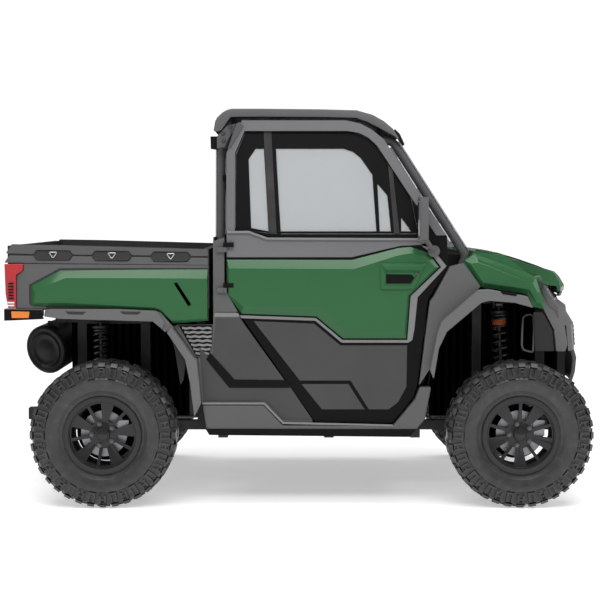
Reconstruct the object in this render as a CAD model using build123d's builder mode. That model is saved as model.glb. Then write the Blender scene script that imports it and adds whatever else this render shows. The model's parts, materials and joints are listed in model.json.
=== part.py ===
"""Side by side utility vehicle with a closed three-seat cab and a tipping cargo bed.

Frame: +X is forward, +Y is the vehicle's left, +Z is up.  The origin lies on the ground,
halfway along the vehicle, on its centre plane.  Everything is in millimetres.
The right side is modelled and mirrored to the left.
"""

import os
from math import atan2, cos, degrees, hypot, radians, sin, tan

from build123d import *

os.makedirs("parts", exist_ok=True)

# ---------------------------------------------------------------- driving dimensions
wheelbase = 2118
front_axle_x = 1118
rear_axle_x = front_axle_x - wheelbase
overall_width = 1640
tyre_radius = 372
front_tyre_width = 240
rear_tyre_width = 280
hub_z = tyre_radius

half_width = overall_width / 2  # over the tyres
door_side = half_width - 105  # outer face of the lower door, off the centre plane
flare_side = half_width - 28  # outer edge of the wheel arch flares
bed_side = half_width - 92
door_thickness = 50
shut_gap = 8  # gap round every panel that opens
seat_clearance = 0.3  # gap where one piece is seated on or in another
frame_tube = 50  # square chassis tube

belt_z = hub_z + 1020
door_top_z = hub_z + 1580
roof_z = hub_z + 1656
cowl_z = hub_z + 928
bed_floor_z = hub_z + 658
bed_rail_z = hub_z + 963
bed_pivot_z = hub_z + 562
frame_z = hub_z - 42
floor_z = frame_z + frame_tube + seat_clearance
tube_radius = 22  # roll cage tube
frame_side = 300  # chassis rails, off the centre plane
running_fit = 0.05  # radial clearance of a pin in its bore


def fx(offset):
    """X of a point that belongs to the front axle."""
    return front_axle_x + offset


def rx(offset):
    """X of a point that belongs to the rear axle."""
    return rear_axle_x + offset


b_post_x = rx(624)  # rear edge of the door
bed_front_x = rx(538)
bed_rear_x = rx(-490)
bed_pivot_x = rx(-280)
belt_front_x = fx(-372)  # front corner of the door at the belt


# ---------------------------------------------------------------- shared helpers
def save(shape, name):
    shape.label = name
    export_step(shape, f"parts/{name}.step")


def mirrored(shape):
    return shape.mirror(Plane.XZ)


def both_sides(shape):
    """The right-hand solid and its left-hand twin, as one part."""
    with BuildPart() as pair:
        add(shape)
        add(mirrored(shape))
    return pair.part


def side_plate(points, inner, outer, radius=0.0):
    """Plate with an X-Z outline, from inner to outer off the centre plane, on the right side."""
    with BuildPart() as plate:
        with BuildSketch(Plane.XZ.offset(inner)):
            with BuildLine():
                if radius:
                    FilletPolyline(*points, radius=radius, close=True)
                else:
                    Polyline(*points, close=True)
            make_face()
        extrude(amount=outer - inner)
    return plate.part


def cross_plate(points, half_span, radius=0.0):
    """The same, right across the vehicle."""
    return side_plate(points, -half_span, half_span, radius)


def block(low, high):
    """Box between two corners."""
    size = [b - a for a, b in zip(low, high)]
    centre = [(a + b) / 2 for a, b in zip(low, high)]
    with BuildPart() as box:
        with Locations(tuple(centre)):
            Box(*size)
    return box.part


def rod(start, end, radius, bore=0.0):
    """Round bar or tube between two points."""
    axis = Vector(*end) - Vector(*start)
    with BuildPart(Plane(origin=start, z_dir=axis)) as bar:
        Cylinder(radius, axis.length, align=(Align.CENTER, Align.CENTER, Align.MIN))
        if bore:
            Cylinder(bore, axis.length, align=(Align.CENTER, Align.CENTER, Align.MIN), mode=Mode.SUBTRACT)
    return bar.part


def bent_tube(points, radius, bend):
    """Tube bent through the points."""
    with BuildPart() as tube:
        with BuildLine() as path:
            FilletPolyline(*points, radius=bend)
        start = path.line @ 0
        heading = path.line % 0
        with BuildSketch(Plane(origin=start, z_dir=heading)):
            Circle(radius)
        sweep()
    return tube.part


def joined(*shapes):
    with BuildPart() as whole:
        for shape in shapes:
            add(shape)
    return whole.part


def cut(shape, *tools):
    with BuildPart() as left:
        add(shape)
        for tool in tools:
            add(tool, mode=Mode.SUBTRACT)
    return left.part


def polar(radius, angle):
    return radius * cos(radians(angle)), radius * sin(radians(angle))


# ---------------------------------------------------------------- wheels
rim_radius = 196
bead_radius = 178
rim_wall = 6
hub_radius = 64
hub_thickness = 16
cap_radius = 32
lug_circle = 57
lug_count = 5
spoke_count = 5
spoke_half_angle = 12
thin_spoke = 16
face_inset = 22  # spoke face behind the outer flange
carcass = 16


def tyre(width):
    """Hollow tyre about the Y axis, its outer side towards -Y."""
    half = width / 2
    bead_half = half - 28
    shoulder = tyre_radius - 26
    with BuildPart() as ring:
        with BuildSketch(Plane.YZ):
            with BuildLine():
                FilletPolyline(
                    (-bead_half, bead_radius + seat_clearance),
                    (-bead_half, bead_radius + 24),
                    (-half, (bead_radius + tyre_radius) / 2),
                    (-half + 6, shoulder),
                    (-half + 34, tyre_radius),
                    (half - 34, tyre_radius),
                    (half - 6, shoulder),
                    (half, (bead_radius + tyre_radius) / 2),
                    (bead_half, bead_radius + 24),
                    (bead_half, bead_radius + seat_clearance),
                    (bead_half - carcass, bead_radius + seat_clearance),
                    (half - carcass - 4, (bead_radius + tyre_radius) / 2),
                    (half - carcass - 20, tyre_radius - 2 * carcass),
                    (-half + carcass + 20, tyre_radius - 2 * carcass),
                    (-half + carcass + 4, (bead_radius + tyre_radius) / 2),
                    (-bead_half + carcass, bead_radius + seat_clearance),
                    radius=6,
                    close=True,
                )
            make_face()
        revolve(axis=Axis.Y)
    return ring.part


def rim(width, turn):
    """Cast wheel about the Y axis: barrel, hub, cap, five broad spokes (the first at `turn`) and five thin."""
    bead_half = width / 2 - 28
    face_y = -bead_half + face_inset - 6
    with BuildPart() as wheel:
        with BuildSketch(Plane.YZ):
            with BuildLine():
                Polyline(
                    (-bead_half - 10, rim_radius),
                    (-bead_half - 1, rim_radius),
                    (-bead_half - 1, bead_radius),
                    (-bead_half + 30, bead_radius),
                    (-bead_half + 46, bead_radius - 12),
                    (bead_half - 46, bead_radius - 12),
                    (bead_half - 30, bead_radius),
                    (bead_half + 1, bead_radius),
                    (bead_half + 1, rim_radius),
                    (bead_half + 8, rim_radius),
                    (bead_half + 8, bead_radius - rim_wall),
                    (bead_half - 32, bead_radius - rim_wall),
                    (bead_half - 48, bead_radius - 12 - rim_wall),
                    (-bead_half + 48, bead_radius - 12 - rim_wall),
                    (-bead_half + 32, bead_radius - rim_wall),
                    (-bead_half - 10, bead_radius - rim_wall),
                    close=True,
                )
            make_face()
        revolve(axis=Axis.Y)
        with BuildSketch(Plane.YZ):
            with BuildLine():
                Polyline(
                    (face_y, bead_radius - rim_wall + 2),
                    (face_y + 16, hub_radius),
                    (face_y + 10, cap_radius + 4),
                    (face_y - 4, cap_radius),
                    (face_y - 4, 0),
                    (face_y + 16 + hub_thickness, 0),
                    (face_y + 16 + hub_thickness, hub_radius),
                    (face_y + 18, bead_radius - rim_wall + 2),
                    close=True,
                )
            make_face()
        revolve(axis=Axis.Y)
        outer = bead_radius - rim_wall - 12
        inner = hub_radius + 8
        thin_inner = degrees(atan2(thin_spoke / 2, inner))
        thin_outer = degrees(atan2(thin_spoke / 2, outer))
        half_pitch = 180 / spoke_count
        with BuildSketch(Plane.XZ.offset(-width / 2)):
            for number in range(spoke_count):
                for side in (-1, 1):
                    centre = turn + number * 360 / spoke_count
                    broad = centre + side * spoke_half_angle
                    far = centre + side * (half_pitch - thin_outer)
                    near = centre + side * (half_pitch - thin_inner)
                    with BuildLine():
                        Polyline(polar(outer, far), polar(inner, near), polar(inner, broad), polar(outer, broad))
                        ThreePointArc(polar(outer, broad), polar(outer, (broad + far) / 2), polar(outer, far))
                    make_face()
        extrude(amount=width, mode=Mode.SUBTRACT)
    return wheel.part


def placed(shape, x, side):
    return shape.moved(Location((x, side, hub_z)))


front_wheel_side = half_width - front_tyre_width / 2
rear_wheel_side = half_width - rear_tyre_width / 2
wheel_sets = {
    "front": (front_axle_x, front_tyre_width, front_wheel_side, 54),
    "rear": (rear_axle_x, rear_tyre_width, rear_wheel_side, 81),
}
for place, (axle_x, width, side, turn) in wheel_sets.items():
    tyre_right = placed(tyre(width), axle_x, -side)
    rim_right = placed(rim(width, turn), axle_x, -side)
    save(tyre_right, f"tyre_{place}_right")
    save(rim_right, f"rim_{place}_right")
    save(mirrored(tyre_right), f"tyre_{place}_left")
    save(mirrored(rim_right), f"rim_{place}_left")


# ---------------------------------------------------------------- axle ends
def hub_face(width):
    """Y distance from the wheel's centre to the inner face of the rim's hub, outwards."""
    return width / 2 - 28 - face_inset + 6 - 16 - hub_thickness


kingpin_side = half_width - 215
kingpin_rise = 85  # half the height between the two ball joints
hub_gap = 0.5  # spindle face to the back of the wheel's hub
spindle_radius = 34
disc_radius = 118


def knuckle(x, wheel_side, width):
    """Upright with its spindle, ball joint ends and brake caliper, on the right side."""
    hub_side = wheel_side + hub_face(width) - hub_gap
    upright = side_plate(
        [
            (x - 38, hub_z - kingpin_rise + 20),
            (x + 38, hub_z - kingpin_rise + 20),
            (x + 48, hub_z),
            (x + 38, hub_z + kingpin_rise - 20),
            (x - 38, hub_z + kingpin_rise - 20),
            (x - 48, hub_z),
        ],
        kingpin_side - 18,
        kingpin_side + 18,
        radius=10,
    )
    spindle = rod((x, -kingpin_side, hub_z), (x, -hub_side, hub_z), spindle_radius)
    disc = rod((x, -hub_side + 22, hub_z), (x, -hub_side + 16, hub_z), disc_radius)
    caliper = block((x + 70, -hub_side + 2, hub_z - 10), (x + 128, -hub_side + 40, hub_z + 70))
    bridge = block((x + 30, -hub_side + 30, hub_z), (x + 80, -kingpin_side - 10, hub_z + 44))
    return joined(upright, spindle, disc, caliper, bridge)


save(knuckle(front_axle_x, front_wheel_side, front_tyre_width), "front_knuckle_right")
save(mirrored(knuckle(front_axle_x, front_wheel_side, front_tyre_width)), "front_knuckle_left")
save(both_sides(knuckle(rear_axle_x, rear_wheel_side, rear_tyre_width)), "rear_knuckles")


# ---------------------------------------------------------------- suspension
pivot_reach = 170  # fore and aft of the axle, to each frame pivot
pivot_bush = 19
arm_inner_side = frame_side + frame_tube / 2 + pivot_bush + seat_clearance
lower_arm_z = hub_z - 30
upper_arm_z = hub_z + 130
shock_side = kingpin_side - 165
cross_bar = 10
shock_eye = 20
spring_radius = 42
damper_radius = 24
shock_rise = {"front": 640, "rear": 560}


def wishbone(x, inner_z, outer_z):
    """A-arm from two frame pivots to one ball joint under or over the knuckle."""
    outer = (x, -kingpin_side, outer_z)
    pieces = [rod((x, -kingpin_side, outer_z - 20), (x, -kingpin_side, outer_z + 20), 20)]
    for end in (-1, 1):
        pivot_x = x + end * pivot_reach
        pieces.append(rod((pivot_x, -arm_inner_side, inner_z), outer, 13))
        pieces.append(
            rod((pivot_x - 24, -arm_inner_side, inner_z), (pivot_x + 24, -arm_inner_side, inner_z), pivot_bush)
        )
    return joined(*pieces)


def along_arm(inner_z, outer_z, side):
    """Height and half spread of an arm's legs at a distance off the centre plane."""
    share = (side - arm_inner_side) / (kingpin_side - arm_inner_side)
    return inner_z + (outer_z - inner_z) * share, pivot_reach * (1 - share)


ball_drop = kingpin_rise + seat_clearance
bar_z, bar_reach = along_arm(lower_arm_z, hub_z - ball_drop, shock_side)


def axle_arms(x):
    lower = wishbone(x, lower_arm_z, hub_z - ball_drop)
    upper = wishbone(x, upper_arm_z, hub_z + ball_drop)
    bar = rod((x - bar_reach, -shock_side, bar_z), (x + bar_reach, -shock_side, bar_z), cross_bar)
    return [joined(lower, bar), upper]


arms = [arm for x in (front_axle_x, rear_axle_x) for arm in axle_arms(x)]
save(joined(*[both_sides(arm) for arm in arms]), "suspension_arms")


def shock_ends(x, place):
    """Lower eye on the arm's cross bar and upper eye at the frame tower."""
    low = Vector(x - 45, -shock_side, bar_z + cross_bar + shock_eye + seat_clearance)
    high = Vector(x - 62, -frame_side - 85, hub_z + shock_rise[place])
    return low, high


def shock(x, place):
    low, high = shock_ends(x, place)
    unit = (high - low).normalized()
    run = (high - low).length
    pieces = [
        rod(low, low + unit * 70, 13),
        rod(low + unit * 60, low + unit * run * 0.55, damper_radius),
        rod(low + unit * run * 0.5, high, 9),
        rod(low + unit * 72, low + unit * 84, spring_radius + 5),
        rod(high - unit * 50, high - unit * 38, spring_radius + 5),
    ]
    for end in (low, high):
        pieces.append(rod(end - Vector(16, 0, 0), end + Vector(16, 0, 0), shock_eye))
    return joined(*pieces)


def spring(x, place):
    low, high = shock_ends(x, place)
    unit = (high - low).normalized()
    start = low + unit * (84 + seat_clearance)
    end = high - unit * (50 + seat_clearance)
    return rod(start, end, spring_radius, bore=damper_radius + 5)


axles = (("front", front_axle_x), ("rear", rear_axle_x))
save(joined(*[both_sides(shock(x, place)) for place, x in axles]), "shock_absorbers")
save(joined(*[both_sides(spring(x, place)) for place, x in axles]), "coil_springs")


# ---------------------------------------------------------------- chassis frame
half_tube = frame_tube / 2
frame_top_z = frame_z + frame_tube
frame_front_x = fx(310)
frame_rear_x = rx(-400)
tower_top = {"front": hub_z + 690, "rear": hub_z + 580}
outrigger_side = door_side - 115
outrigger_xs = (rx(600), rx(1150), fx(-520))
rail_out, rail_in = -frame_side - half_tube, -frame_side + half_tube  # the right rail's two sides
outer_face = frame_side + half_tube + seat_clearance  # where a tube meets the rail's outer side
inner_face = frame_side - half_tube - seat_clearance  # and its inner side


def across(x, z, inner_side, outer_side):
    """Square tube lying across the frame on the right side, between two distances off centre."""
    return block((x - half_tube, -outer_side, z), (x + half_tube, -inner_side, z + frame_tube))


def axle_tower(place, x):
    """Posts, top bar and shock bracket over one axle on the right, and the half cross tubes."""
    top_z = tower_top[place] - frame_tube
    span = pivot_reach + half_tube
    eye_z = hub_z + shock_rise[place]
    bracket_side = frame_side + 85 - shock_eye - seat_clearance
    bracket_low = (x - 90, -bracket_side, eye_z - 22)
    bracket_high = (x - 34, -outer_face, min(eye_z + 30, tower_top[place]))
    pieces = [
        block((x - span, rail_out, top_z), (x + span, rail_in, tower_top[place])),
        block(bracket_low, bracket_high),
    ]
    for end in (-1, 1):
        post_x = x + end * pivot_reach
        pieces.append(
            block(
                (post_x - half_tube, rail_out, frame_top_z + seat_clearance),
                (post_x + half_tube, rail_in, top_z - seat_clearance),
            )
        )
    return pieces


def chassis_side():
    """Right-hand rail with its outriggers and axle towers, each tube a solid of its own."""
    rail = block((frame_rear_x, rail_out, frame_z), (frame_front_x, rail_in, frame_top_z))
    outriggers = [across(x, frame_z, outer_face, outrigger_side) for x in outrigger_xs]
    towers = [piece for place, x in axles for piece in axle_tower(place, x)]
    return joined(rail, *outriggers, *towers)


def cross_tubes():
    """Tubes between the two rails and between the tops of the towers."""
    low_xs = [frame_rear_x + half_tube, frame_front_x - half_tube, *outrigger_xs]
    spots = [(x, frame_z) for x in low_xs]
    for place, x in axles:
        for end in (-1, 1):
            spots.append((x + end * pivot_reach, frame_z))
            spots.append((x + end * pivot_reach, tower_top[place] - frame_tube))
    return [across(x, z, -inner_face, inner_face) for x, z in spots]


frame = joined(both_sides(chassis_side()), *cross_tubes())

# bed carrier: arms reaching back from the rear towers over the silencer, bored for the pivot pins
pivot_pin_radius = 12
tower_end_x = rx(-pivot_reach) - half_tube - seat_clearance
carrier_arm = block(
    (bed_pivot_x, rail_out, bed_pivot_z - half_tube), (tower_end_x, rail_in, bed_pivot_z + half_tube)
)
carrier_boss = rod((bed_pivot_x, rail_out, bed_pivot_z), (bed_pivot_x, rail_in, bed_pivot_z), half_tube)
pin_bore = pivot_pin_radius + running_fit
carrier_bore = rod((bed_pivot_x, rail_out - 1, bed_pivot_z), (bed_pivot_x, rail_in + 1, bed_pivot_z), pin_bore)
bed_under_z = bed_floor_z - 20
rest_x = bed_front_x - 90
bed_rest = block(
    (rest_x, rail_out, frame_top_z + seat_clearance), (rest_x + frame_tube, rail_in, bed_under_z - 6)
)
horn_x = fx(pivot_reach) + half_tube + seat_clearance
horn = block((horn_x, rail_out, tower_top["front"] - frame_tube), (fx(257.5), rail_in, tower_top["front"]))
skid_x = frame_front_x + seat_clearance
skid = cross_plate(
    [(skid_x, frame_z + 2), (skid_x + 8, frame_z + 2), (fx(372), hub_z + 206), (fx(364), hub_z + 208)], 270
)


# ---------------------------------------------------------------- engine and drive line
seat_z = frame_top_z + seat_clearance
shaft_z = hub_z + 58
engine_front_x = rx(535)
save(block((rx(70), -250, seat_z), (engine_front_x, 250, hub_z + 470)), "engine")
diff_half = 110
front_diff = block((fx(-180), -diff_half, seat_z), (fx(180), diff_half, hub_z + 130))
rear_diff = block((rx(-180), -diff_half, seat_z), (rx(70) - seat_clearance, diff_half, hub_z + 130))
prop_shaft = rod((engine_front_x + seat_clearance, 0, shaft_z), (fx(-180) - seat_clearance, 0, shaft_z), 22)


boot_radius = 36
boot_gap = {"front": 50, "rear": 23}  # boot's end to the kingpin axis; a steered upright swings inwards


def half_shaft(x, gap):
    """Drive shaft from the differential to one wheel, with a boot at each end."""
    inner = Vector(x, -diff_half - seat_clearance, shaft_z)
    outer = Vector(x, -kingpin_side + gap, hub_z)
    unit = (outer - inner).normalized()
    inner_boot = rod(inner + unit * 8, inner + unit * 90, boot_radius)
    outer_boot = rod(outer - unit * 80, outer, boot_radius)
    return joined(rod(inner, outer, 15), inner_boot, outer_boot)


shafts = [both_sides(half_shaft(x, boot_gap[place])) for place, x in axles]
save(joined(front_diff, rear_diff, prop_shaft, *shafts), "drive_line")

# silencer lying across the tail behind the rear axle
muffler_x = rx(-345)
muffler_z = hub_z + 400
with BuildPart() as muffler:
    with BuildSketch(Plane.XZ.offset(-430)):
        with Locations((muffler_x, muffler_z)):
            Ellipse(104, 130, rotation=20)
    extrude(amount=860)
    fillet(muffler.edges().filter_by(GeomType.ELLIPSE), radius=24)
with BuildPart() as muffler_clear:
    with BuildSketch(Plane.XZ.offset(-500)):
        with Locations((muffler_x, muffler_z)):
            Ellipse(104 + seat_clearance, 130 + seat_clearance, rotation=20)
    extrude(amount=1000)
hanger = block((muffler_x - 10, rail_out, muffler_z + 60), (bed_pivot_x - 16, rail_out + 12, bed_pivot_z - 16))
carrier = cut(joined(carrier_arm, carrier_boss, hanger), carrier_bore, muffler_clear.part)
tail_pipe = rod((muffler_x - 60, 250, muffler_z - 20), (rx(-500), 250, muffler_z - 20), 28)
save(joined(muffler.part, tail_pipe), "muffler")
chassis_extras = [both_sides(piece) for piece in (carrier, bed_rest, horn)]
save(joined(frame, skid, *chassis_extras), "chassis_frame")

save(block((fx(262), -330, seat_z), (fx(308), 330, hub_z + 560)), "radiator")


# ---------------------------------------------------------------- cab tub
tub_side = door_side - door_thickness - 12
tub_wall = 10
tunnel_half = 110
firewall = [
    (fx(-535), floor_z),
    (fx(-478), hub_z + 250),
    (fx(-450), hub_z + 470),
    (fx(-290), hub_z + 680),
    (fx(-232), hub_z + 846),
    (fx(-238), hub_z + 912),
]
riser_x = rx(1080)
seat_top_z = hub_z + 318
cab_rear_x = rx(556)
rear_wall_top_z = belt_z - 20


def tub_profile(shift):
    """Outline of the floor, firewall, seat riser and rear wall, moved in by one wall thickness."""
    return [
        (cab_rear_x + shift, rear_wall_top_z),
        (cab_rear_x + shift, floor_z + shift),
        *[(x - shift, max(z, floor_z + shift)) for x, z in firewall],
    ]


with BuildPart() as tub:
    with BuildSketch(Plane.XZ.offset(-tub_side)):
        with BuildLine():
            Polyline(*tub_profile(0), *reversed(tub_profile(tub_wall)), close=True)
        make_face()
    extrude(amount=2 * tub_side)
riser_half = tub_side - 68
riser_outline = [
    (cab_rear_x + tub_wall - 1, seat_top_z),
    (riser_x, seat_top_z),
    (riser_x - 60, floor_z + tub_wall - 1),
    (cab_rear_x + tub_wall - 1, floor_z + tub_wall - 1),
]
riser_inside = [
    (cab_rear_x + tub_wall, seat_top_z - tub_wall),
    (riser_x - tub_wall - 4, seat_top_z - tub_wall),
    (riser_x - 60 - tub_wall, floor_z + tub_wall),
    (cab_rear_x + tub_wall, floor_z + tub_wall),
]
riser = cut(cross_plate(riser_outline, riser_half), cross_plate(riser_inside, riser_half - tub_wall))
tunnel_void = block(
    (cab_rear_x - 2, -tunnel_half + tub_wall, floor_z - 2),
    (fx(-400), tunnel_half - tub_wall, shaft_z + 60 - tub_wall),
)
tunnel_body = joined(
    block((cab_rear_x + 1, -tunnel_half, floor_z + 1), (fx(-800), tunnel_half, shaft_z + 60)),
    cross_plate(
        [
            (fx(-801), floor_z + 1),
            (fx(-536), floor_z + 1),
            (fx(-500), shaft_z + 60),
            (fx(-801), shaft_z + 60),
        ],
        tunnel_half,
    ),
)

# hood hinge brackets and pins on the top of the firewall
hinge_x, hinge_z = fx(-214), hub_z + 896
hinge_side = 300
hinge_pin_radius = 5
hood_bracket = block((fx(-240), -hinge_side, hinge_z - 12), (hinge_x + 8, -hinge_side + 10, hinge_z + 8))
hood_pin = rod((hinge_x, -hinge_side - 18, hinge_z), (hinge_x, -hinge_side + 1, hinge_z), hinge_pin_radius)
hood_hinge = joined(hood_bracket, hood_pin)
save(joined(cut(joined(tub.part, riser, tunnel_body), tunnel_void), both_sides(hood_hinge)), "cab_tub")


# ---------------------------------------------------------------- body side section
tumblehome = 75  # how far the side leans in between the belt and the roof


def side_panel(points, outer, inner, radius=0.0):
    """X-Z outline cut from the body's side, between two depths from the door's outer face."""
    with BuildPart() as panel:
        with BuildSketch(Plane.YZ.offset(-2200)):
            with BuildLine():
                Polyline(
                    (-door_side - outer, 100),
                    (-door_side - outer, belt_z),
                    (-door_side - outer + tumblehome, door_top_z),
                    (-door_side + inner + tumblehome, door_top_z),
                    (-door_side + inner, belt_z),
                    (-door_side + inner, 100),
                    close=True,
                )
            make_face()
        extrude(amount=4400)
        add(side_plate(points, 300, half_width + 50, radius), mode=Mode.INTERSECT)
    return panel.part


# ---------------------------------------------------------------- doors
door_outline = [
    (b_post_x, hub_z + 1458),
    (b_post_x + 72, door_top_z - 1),
    (fx(-854), door_top_z - 1),
    (fx(-698), hub_z + 1501),
    (belt_front_x, hub_z + 1006),
    (fx(-367), hub_z + 854),
    (fx(-468), hub_z + 682),
    (fx(-519), hub_z + 250),
    (fx(-539), hub_z + 184),
    (fx(-646), hub_z + 52),
    (rx(1081), hub_z + 52),
    (b_post_x + 72, hub_z + 606),
    (b_post_x, hub_z + 722),
]
window_outline = [
    (b_post_x + 48, belt_z + 20),
    (b_post_x + 48, hub_z + 1421),
    (b_post_x + 99, hub_z + 1544),
    (fx(-862), hub_z + 1544),
    (fx(-749), hub_z + 1498),
    (fx(-559), hub_z + 1236),
    (fx(-518), belt_z - 4),
    (b_post_x + 248, belt_z - 4),
]
window_frame = 40


def door():
    shell = side_panel(door_outline, 0, door_thickness, radius=14)
    thin = side_panel(
        [(b_post_x - 50, belt_z + 40), (b_post_x - 50, 2300), (1400, 2300), (1400, belt_z + 40)],
        -window_frame,
        door_thickness + 20,
    )
    pane = side_panel(window_outline, 20, 90, radius=14)
    return cut(shell, thin, pane)


# rear-hung: two hinges at each rear edge, pins on the body and barrels on the door
door_hinge_x = b_post_x - shut_gap / 2
door_hinge_side = door_side + 18
door_hinge_pin = 5
door_hinge_zs = (hub_z + 745, hub_z + 950)
hinge_half = 24
barrel_radius = 9


def door_hinge(z):
    """The half of a hinge that the door carries: barrel and leaf."""
    low, high = (door_hinge_x, -door_hinge_side, z), (door_hinge_x, -door_hinge_side, z + hinge_half)
    leaf = block((door_hinge_x, -door_hinge_side - 3, z), (b_post_x + 40, -door_side + 1, z + hinge_half))
    bore = rod((door_hinge_x, -door_hinge_side, z - 1), (door_hinge_x, -door_hinge_side, z + hinge_half + 1), 5 + running_fit)
    return cut(joined(rod(low, high, barrel_radius), leaf), bore)


def post_hinge(z):
    """The body's half: lower barrel, pin and leaf."""
    base = z - hinge_half - 0.5
    barrel = rod((door_hinge_x, -door_hinge_side, base), (door_hinge_x, -door_hinge_side, z - 0.5), barrel_radius)
    pin = rod((door_hinge_x, -door_hinge_side, base), (door_hinge_x, -door_hinge_side, z + hinge_half - 1), door_hinge_pin)
    leaf = block((b_post_x - 44, -door_hinge_side - 3, base), (door_hinge_x, -door_side - 5, z - 0.5))
    return joined(barrel, pin, leaf)


glass_right = side_panel(window_outline, -14, 19.5, radius=14)
door_right = joined(door(), *[door_hinge(z) for z in door_hinge_zs])
save(door_right, "door_right")
save(mirrored(door_right), "door_left")
save(glass_right, "door_glass_right")
save(mirrored(glass_right), "door_glass_left")

# mirrors on arms at the front top corners of the doors
mirror_x = fx(-502)
mirror_depth = 46
mirror_width = 140
mirror_low_z = belt_z - 30
mirror_side = door_side + 95
with BuildPart() as mirror_head:
    with BuildSketch(Plane.XY.offset(mirror_low_z)):
        with Locations((mirror_x, -mirror_side)):
            RectangleRounded(mirror_depth, mirror_width, 16)
    extrude(amount=212)
mirror_foot = Vector(fx(-440), -door_side - 13.3, belt_z - 90)
mirror_arm = rod(mirror_foot, (mirror_x, -mirror_side, mirror_low_z + 20), 12)
mirror_pad = rod((fx(-440), -door_side - seat_clearance, belt_z - 90), (fx(-440), -door_side - 22, belt_z - 90), 30)
mirror_right = joined(mirror_head.part, mirror_arm, mirror_pad)
save(mirror_right, "mirror_right")
save(mirrored(mirror_right), "mirror_left")


# ---------------------------------------------------------------- roll cage
cage_side_top = door_side - tumblehome - window_frame - shut_gap - tube_radius - 4
cage_side_belt = door_side - door_thickness - shut_gap - tube_radius - 16
cage_top_z = door_top_z - 40
cage_rear_x = rx(594)
post_low = (fx(-266), hub_z + 903)
post_high = (fx(-640), hub_z + 1492)
cage_hoop = [
    (fx(-590), -cage_side_belt, floor_z + tub_wall + seat_clearance),
    (fx(-590), -cage_side_belt, hub_z + 150),
    (fx(-530), -cage_side_belt, hub_z + 300),
    (fx(-505), -cage_side_belt, hub_z + 482),
    (fx(-345), -cage_side_belt, hub_z + 706),
    (post_low[0], -cage_side_belt, post_low[1]),
    (post_high[0], -cage_side_top, post_high[1]),
    (cage_rear_x + 30, -cage_side_top, cage_top_z),
    (cage_rear_x, -cage_side_top, cage_top_z - 70),
    (cage_rear_x, -cage_side_belt, belt_z - 20),
    (cage_rear_x, -cage_side_belt, floor_z + tub_wall + seat_clearance),
]
hoop = bent_tube(cage_hoop, tube_radius, 48)
front_bar = (fx(-700), hub_z + 1495)
rear_bar = (cage_rear_x + 60, cage_top_z - 1)
cage_bars = [
    (front_bar, cage_side_top),
    (rear_bar, cage_side_top),
    ((cage_rear_x, belt_z - 60), cage_side_belt),
]
bars = [rod((x, -half, z), (x, half, z), tube_radius - 2) for (x, z), half in cage_bars]
pad_tops = ((front_bar, hub_z + 1577), (rear_bar, roof_z - 30 - seat_clearance))
roof_pads = [rod((x, -400, z), (x, -400, top), 16) for (x, z), top in pad_tops]
gusset_outline = [
    (b_post_x - 45, door_top_z - 67),
    (b_post_x - 6, door_top_z - 22),
    (b_post_x + 60, door_top_z - 14),
    (b_post_x + 82, door_top_z - 40),
    (b_post_x + 27, door_top_z - 123),
    (b_post_x - 45, door_top_z - 129),
]
gusset = side_plate(gusset_outline, cage_side_top + tube_radius - 9, cage_side_top + tube_radius + 3, radius=6)
pads = [both_sides(pad) for pad in roof_pads]
save(joined(hoop, mirrored(hoop), both_sides(gusset), *bars, *pads), "roll_cage")

# ---------------------------------------------------------------- roof
roof_low_z = door_top_z + shut_gap + 4
roof_half = door_side - tumblehome - 4
roof_section = [
    (-roof_half, hub_z + 1500),
    (-roof_half, roof_low_z + 6),
    (-roof_half + 60, roof_z - 22),
    (-roof_half + 200, roof_z),
    (roof_half - 200, roof_z),
    (roof_half - 60, roof_z - 22),
    (roof_half, roof_low_z + 6),
    (roof_half, hub_z + 1500),
]
roof_top = [
    (b_post_x - 66, roof_low_z - 8),
    (b_post_x - 61, roof_low_z + 12),
    (b_post_x - 21, roof_z - 24),
    (b_post_x + 25, roof_z),
    (fx(-829), roof_z - 8),
    (fx(-747), roof_z - 32),
    (fx(-688), hub_z + 1591),
    (fx(-644), hub_z + 1554),
    (fx(-612), hub_z + 1506),
    (fx(-618), hub_z + 1506),
    (fx(-649), hub_z + 1551),
    (fx(-692), hub_z + 1584),
    (fx(-720), roof_low_z - 4),
    (b_post_x - 20, roof_low_z - 4),
]
with BuildPart() as roof:
    with BuildSketch(Plane.YZ.offset(-1200)):
        with BuildLine():
            Polyline(*roof_section, close=True)
        make_face()
    extrude(amount=2400)
    add(cross_plate(roof_top, roof_half + 10), mode=Mode.INTERSECT)
with BuildPart() as roof_void:
    with BuildSketch(Plane.YZ.offset(b_post_x - 20)):
        with BuildLine():
            Polyline(
                (-roof_half + 24, roof_low_z - 40),
                (-roof_half + 24, roof_low_z + 4),
                (-roof_half + 76, roof_z - 44),
                (-roof_half + 200, roof_z - 30),
                (roof_half - 200, roof_z - 30),
                (roof_half - 76, roof_z - 44),
                (roof_half - 24, roof_low_z + 4),
                (roof_half - 24, roof_low_z - 40),
                close=True,
            )
        make_face()
    extrude(amount=fx(-760) - b_post_x + 20)
save(cut(roof.part, roof_void.part), "roof_panel")

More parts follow.
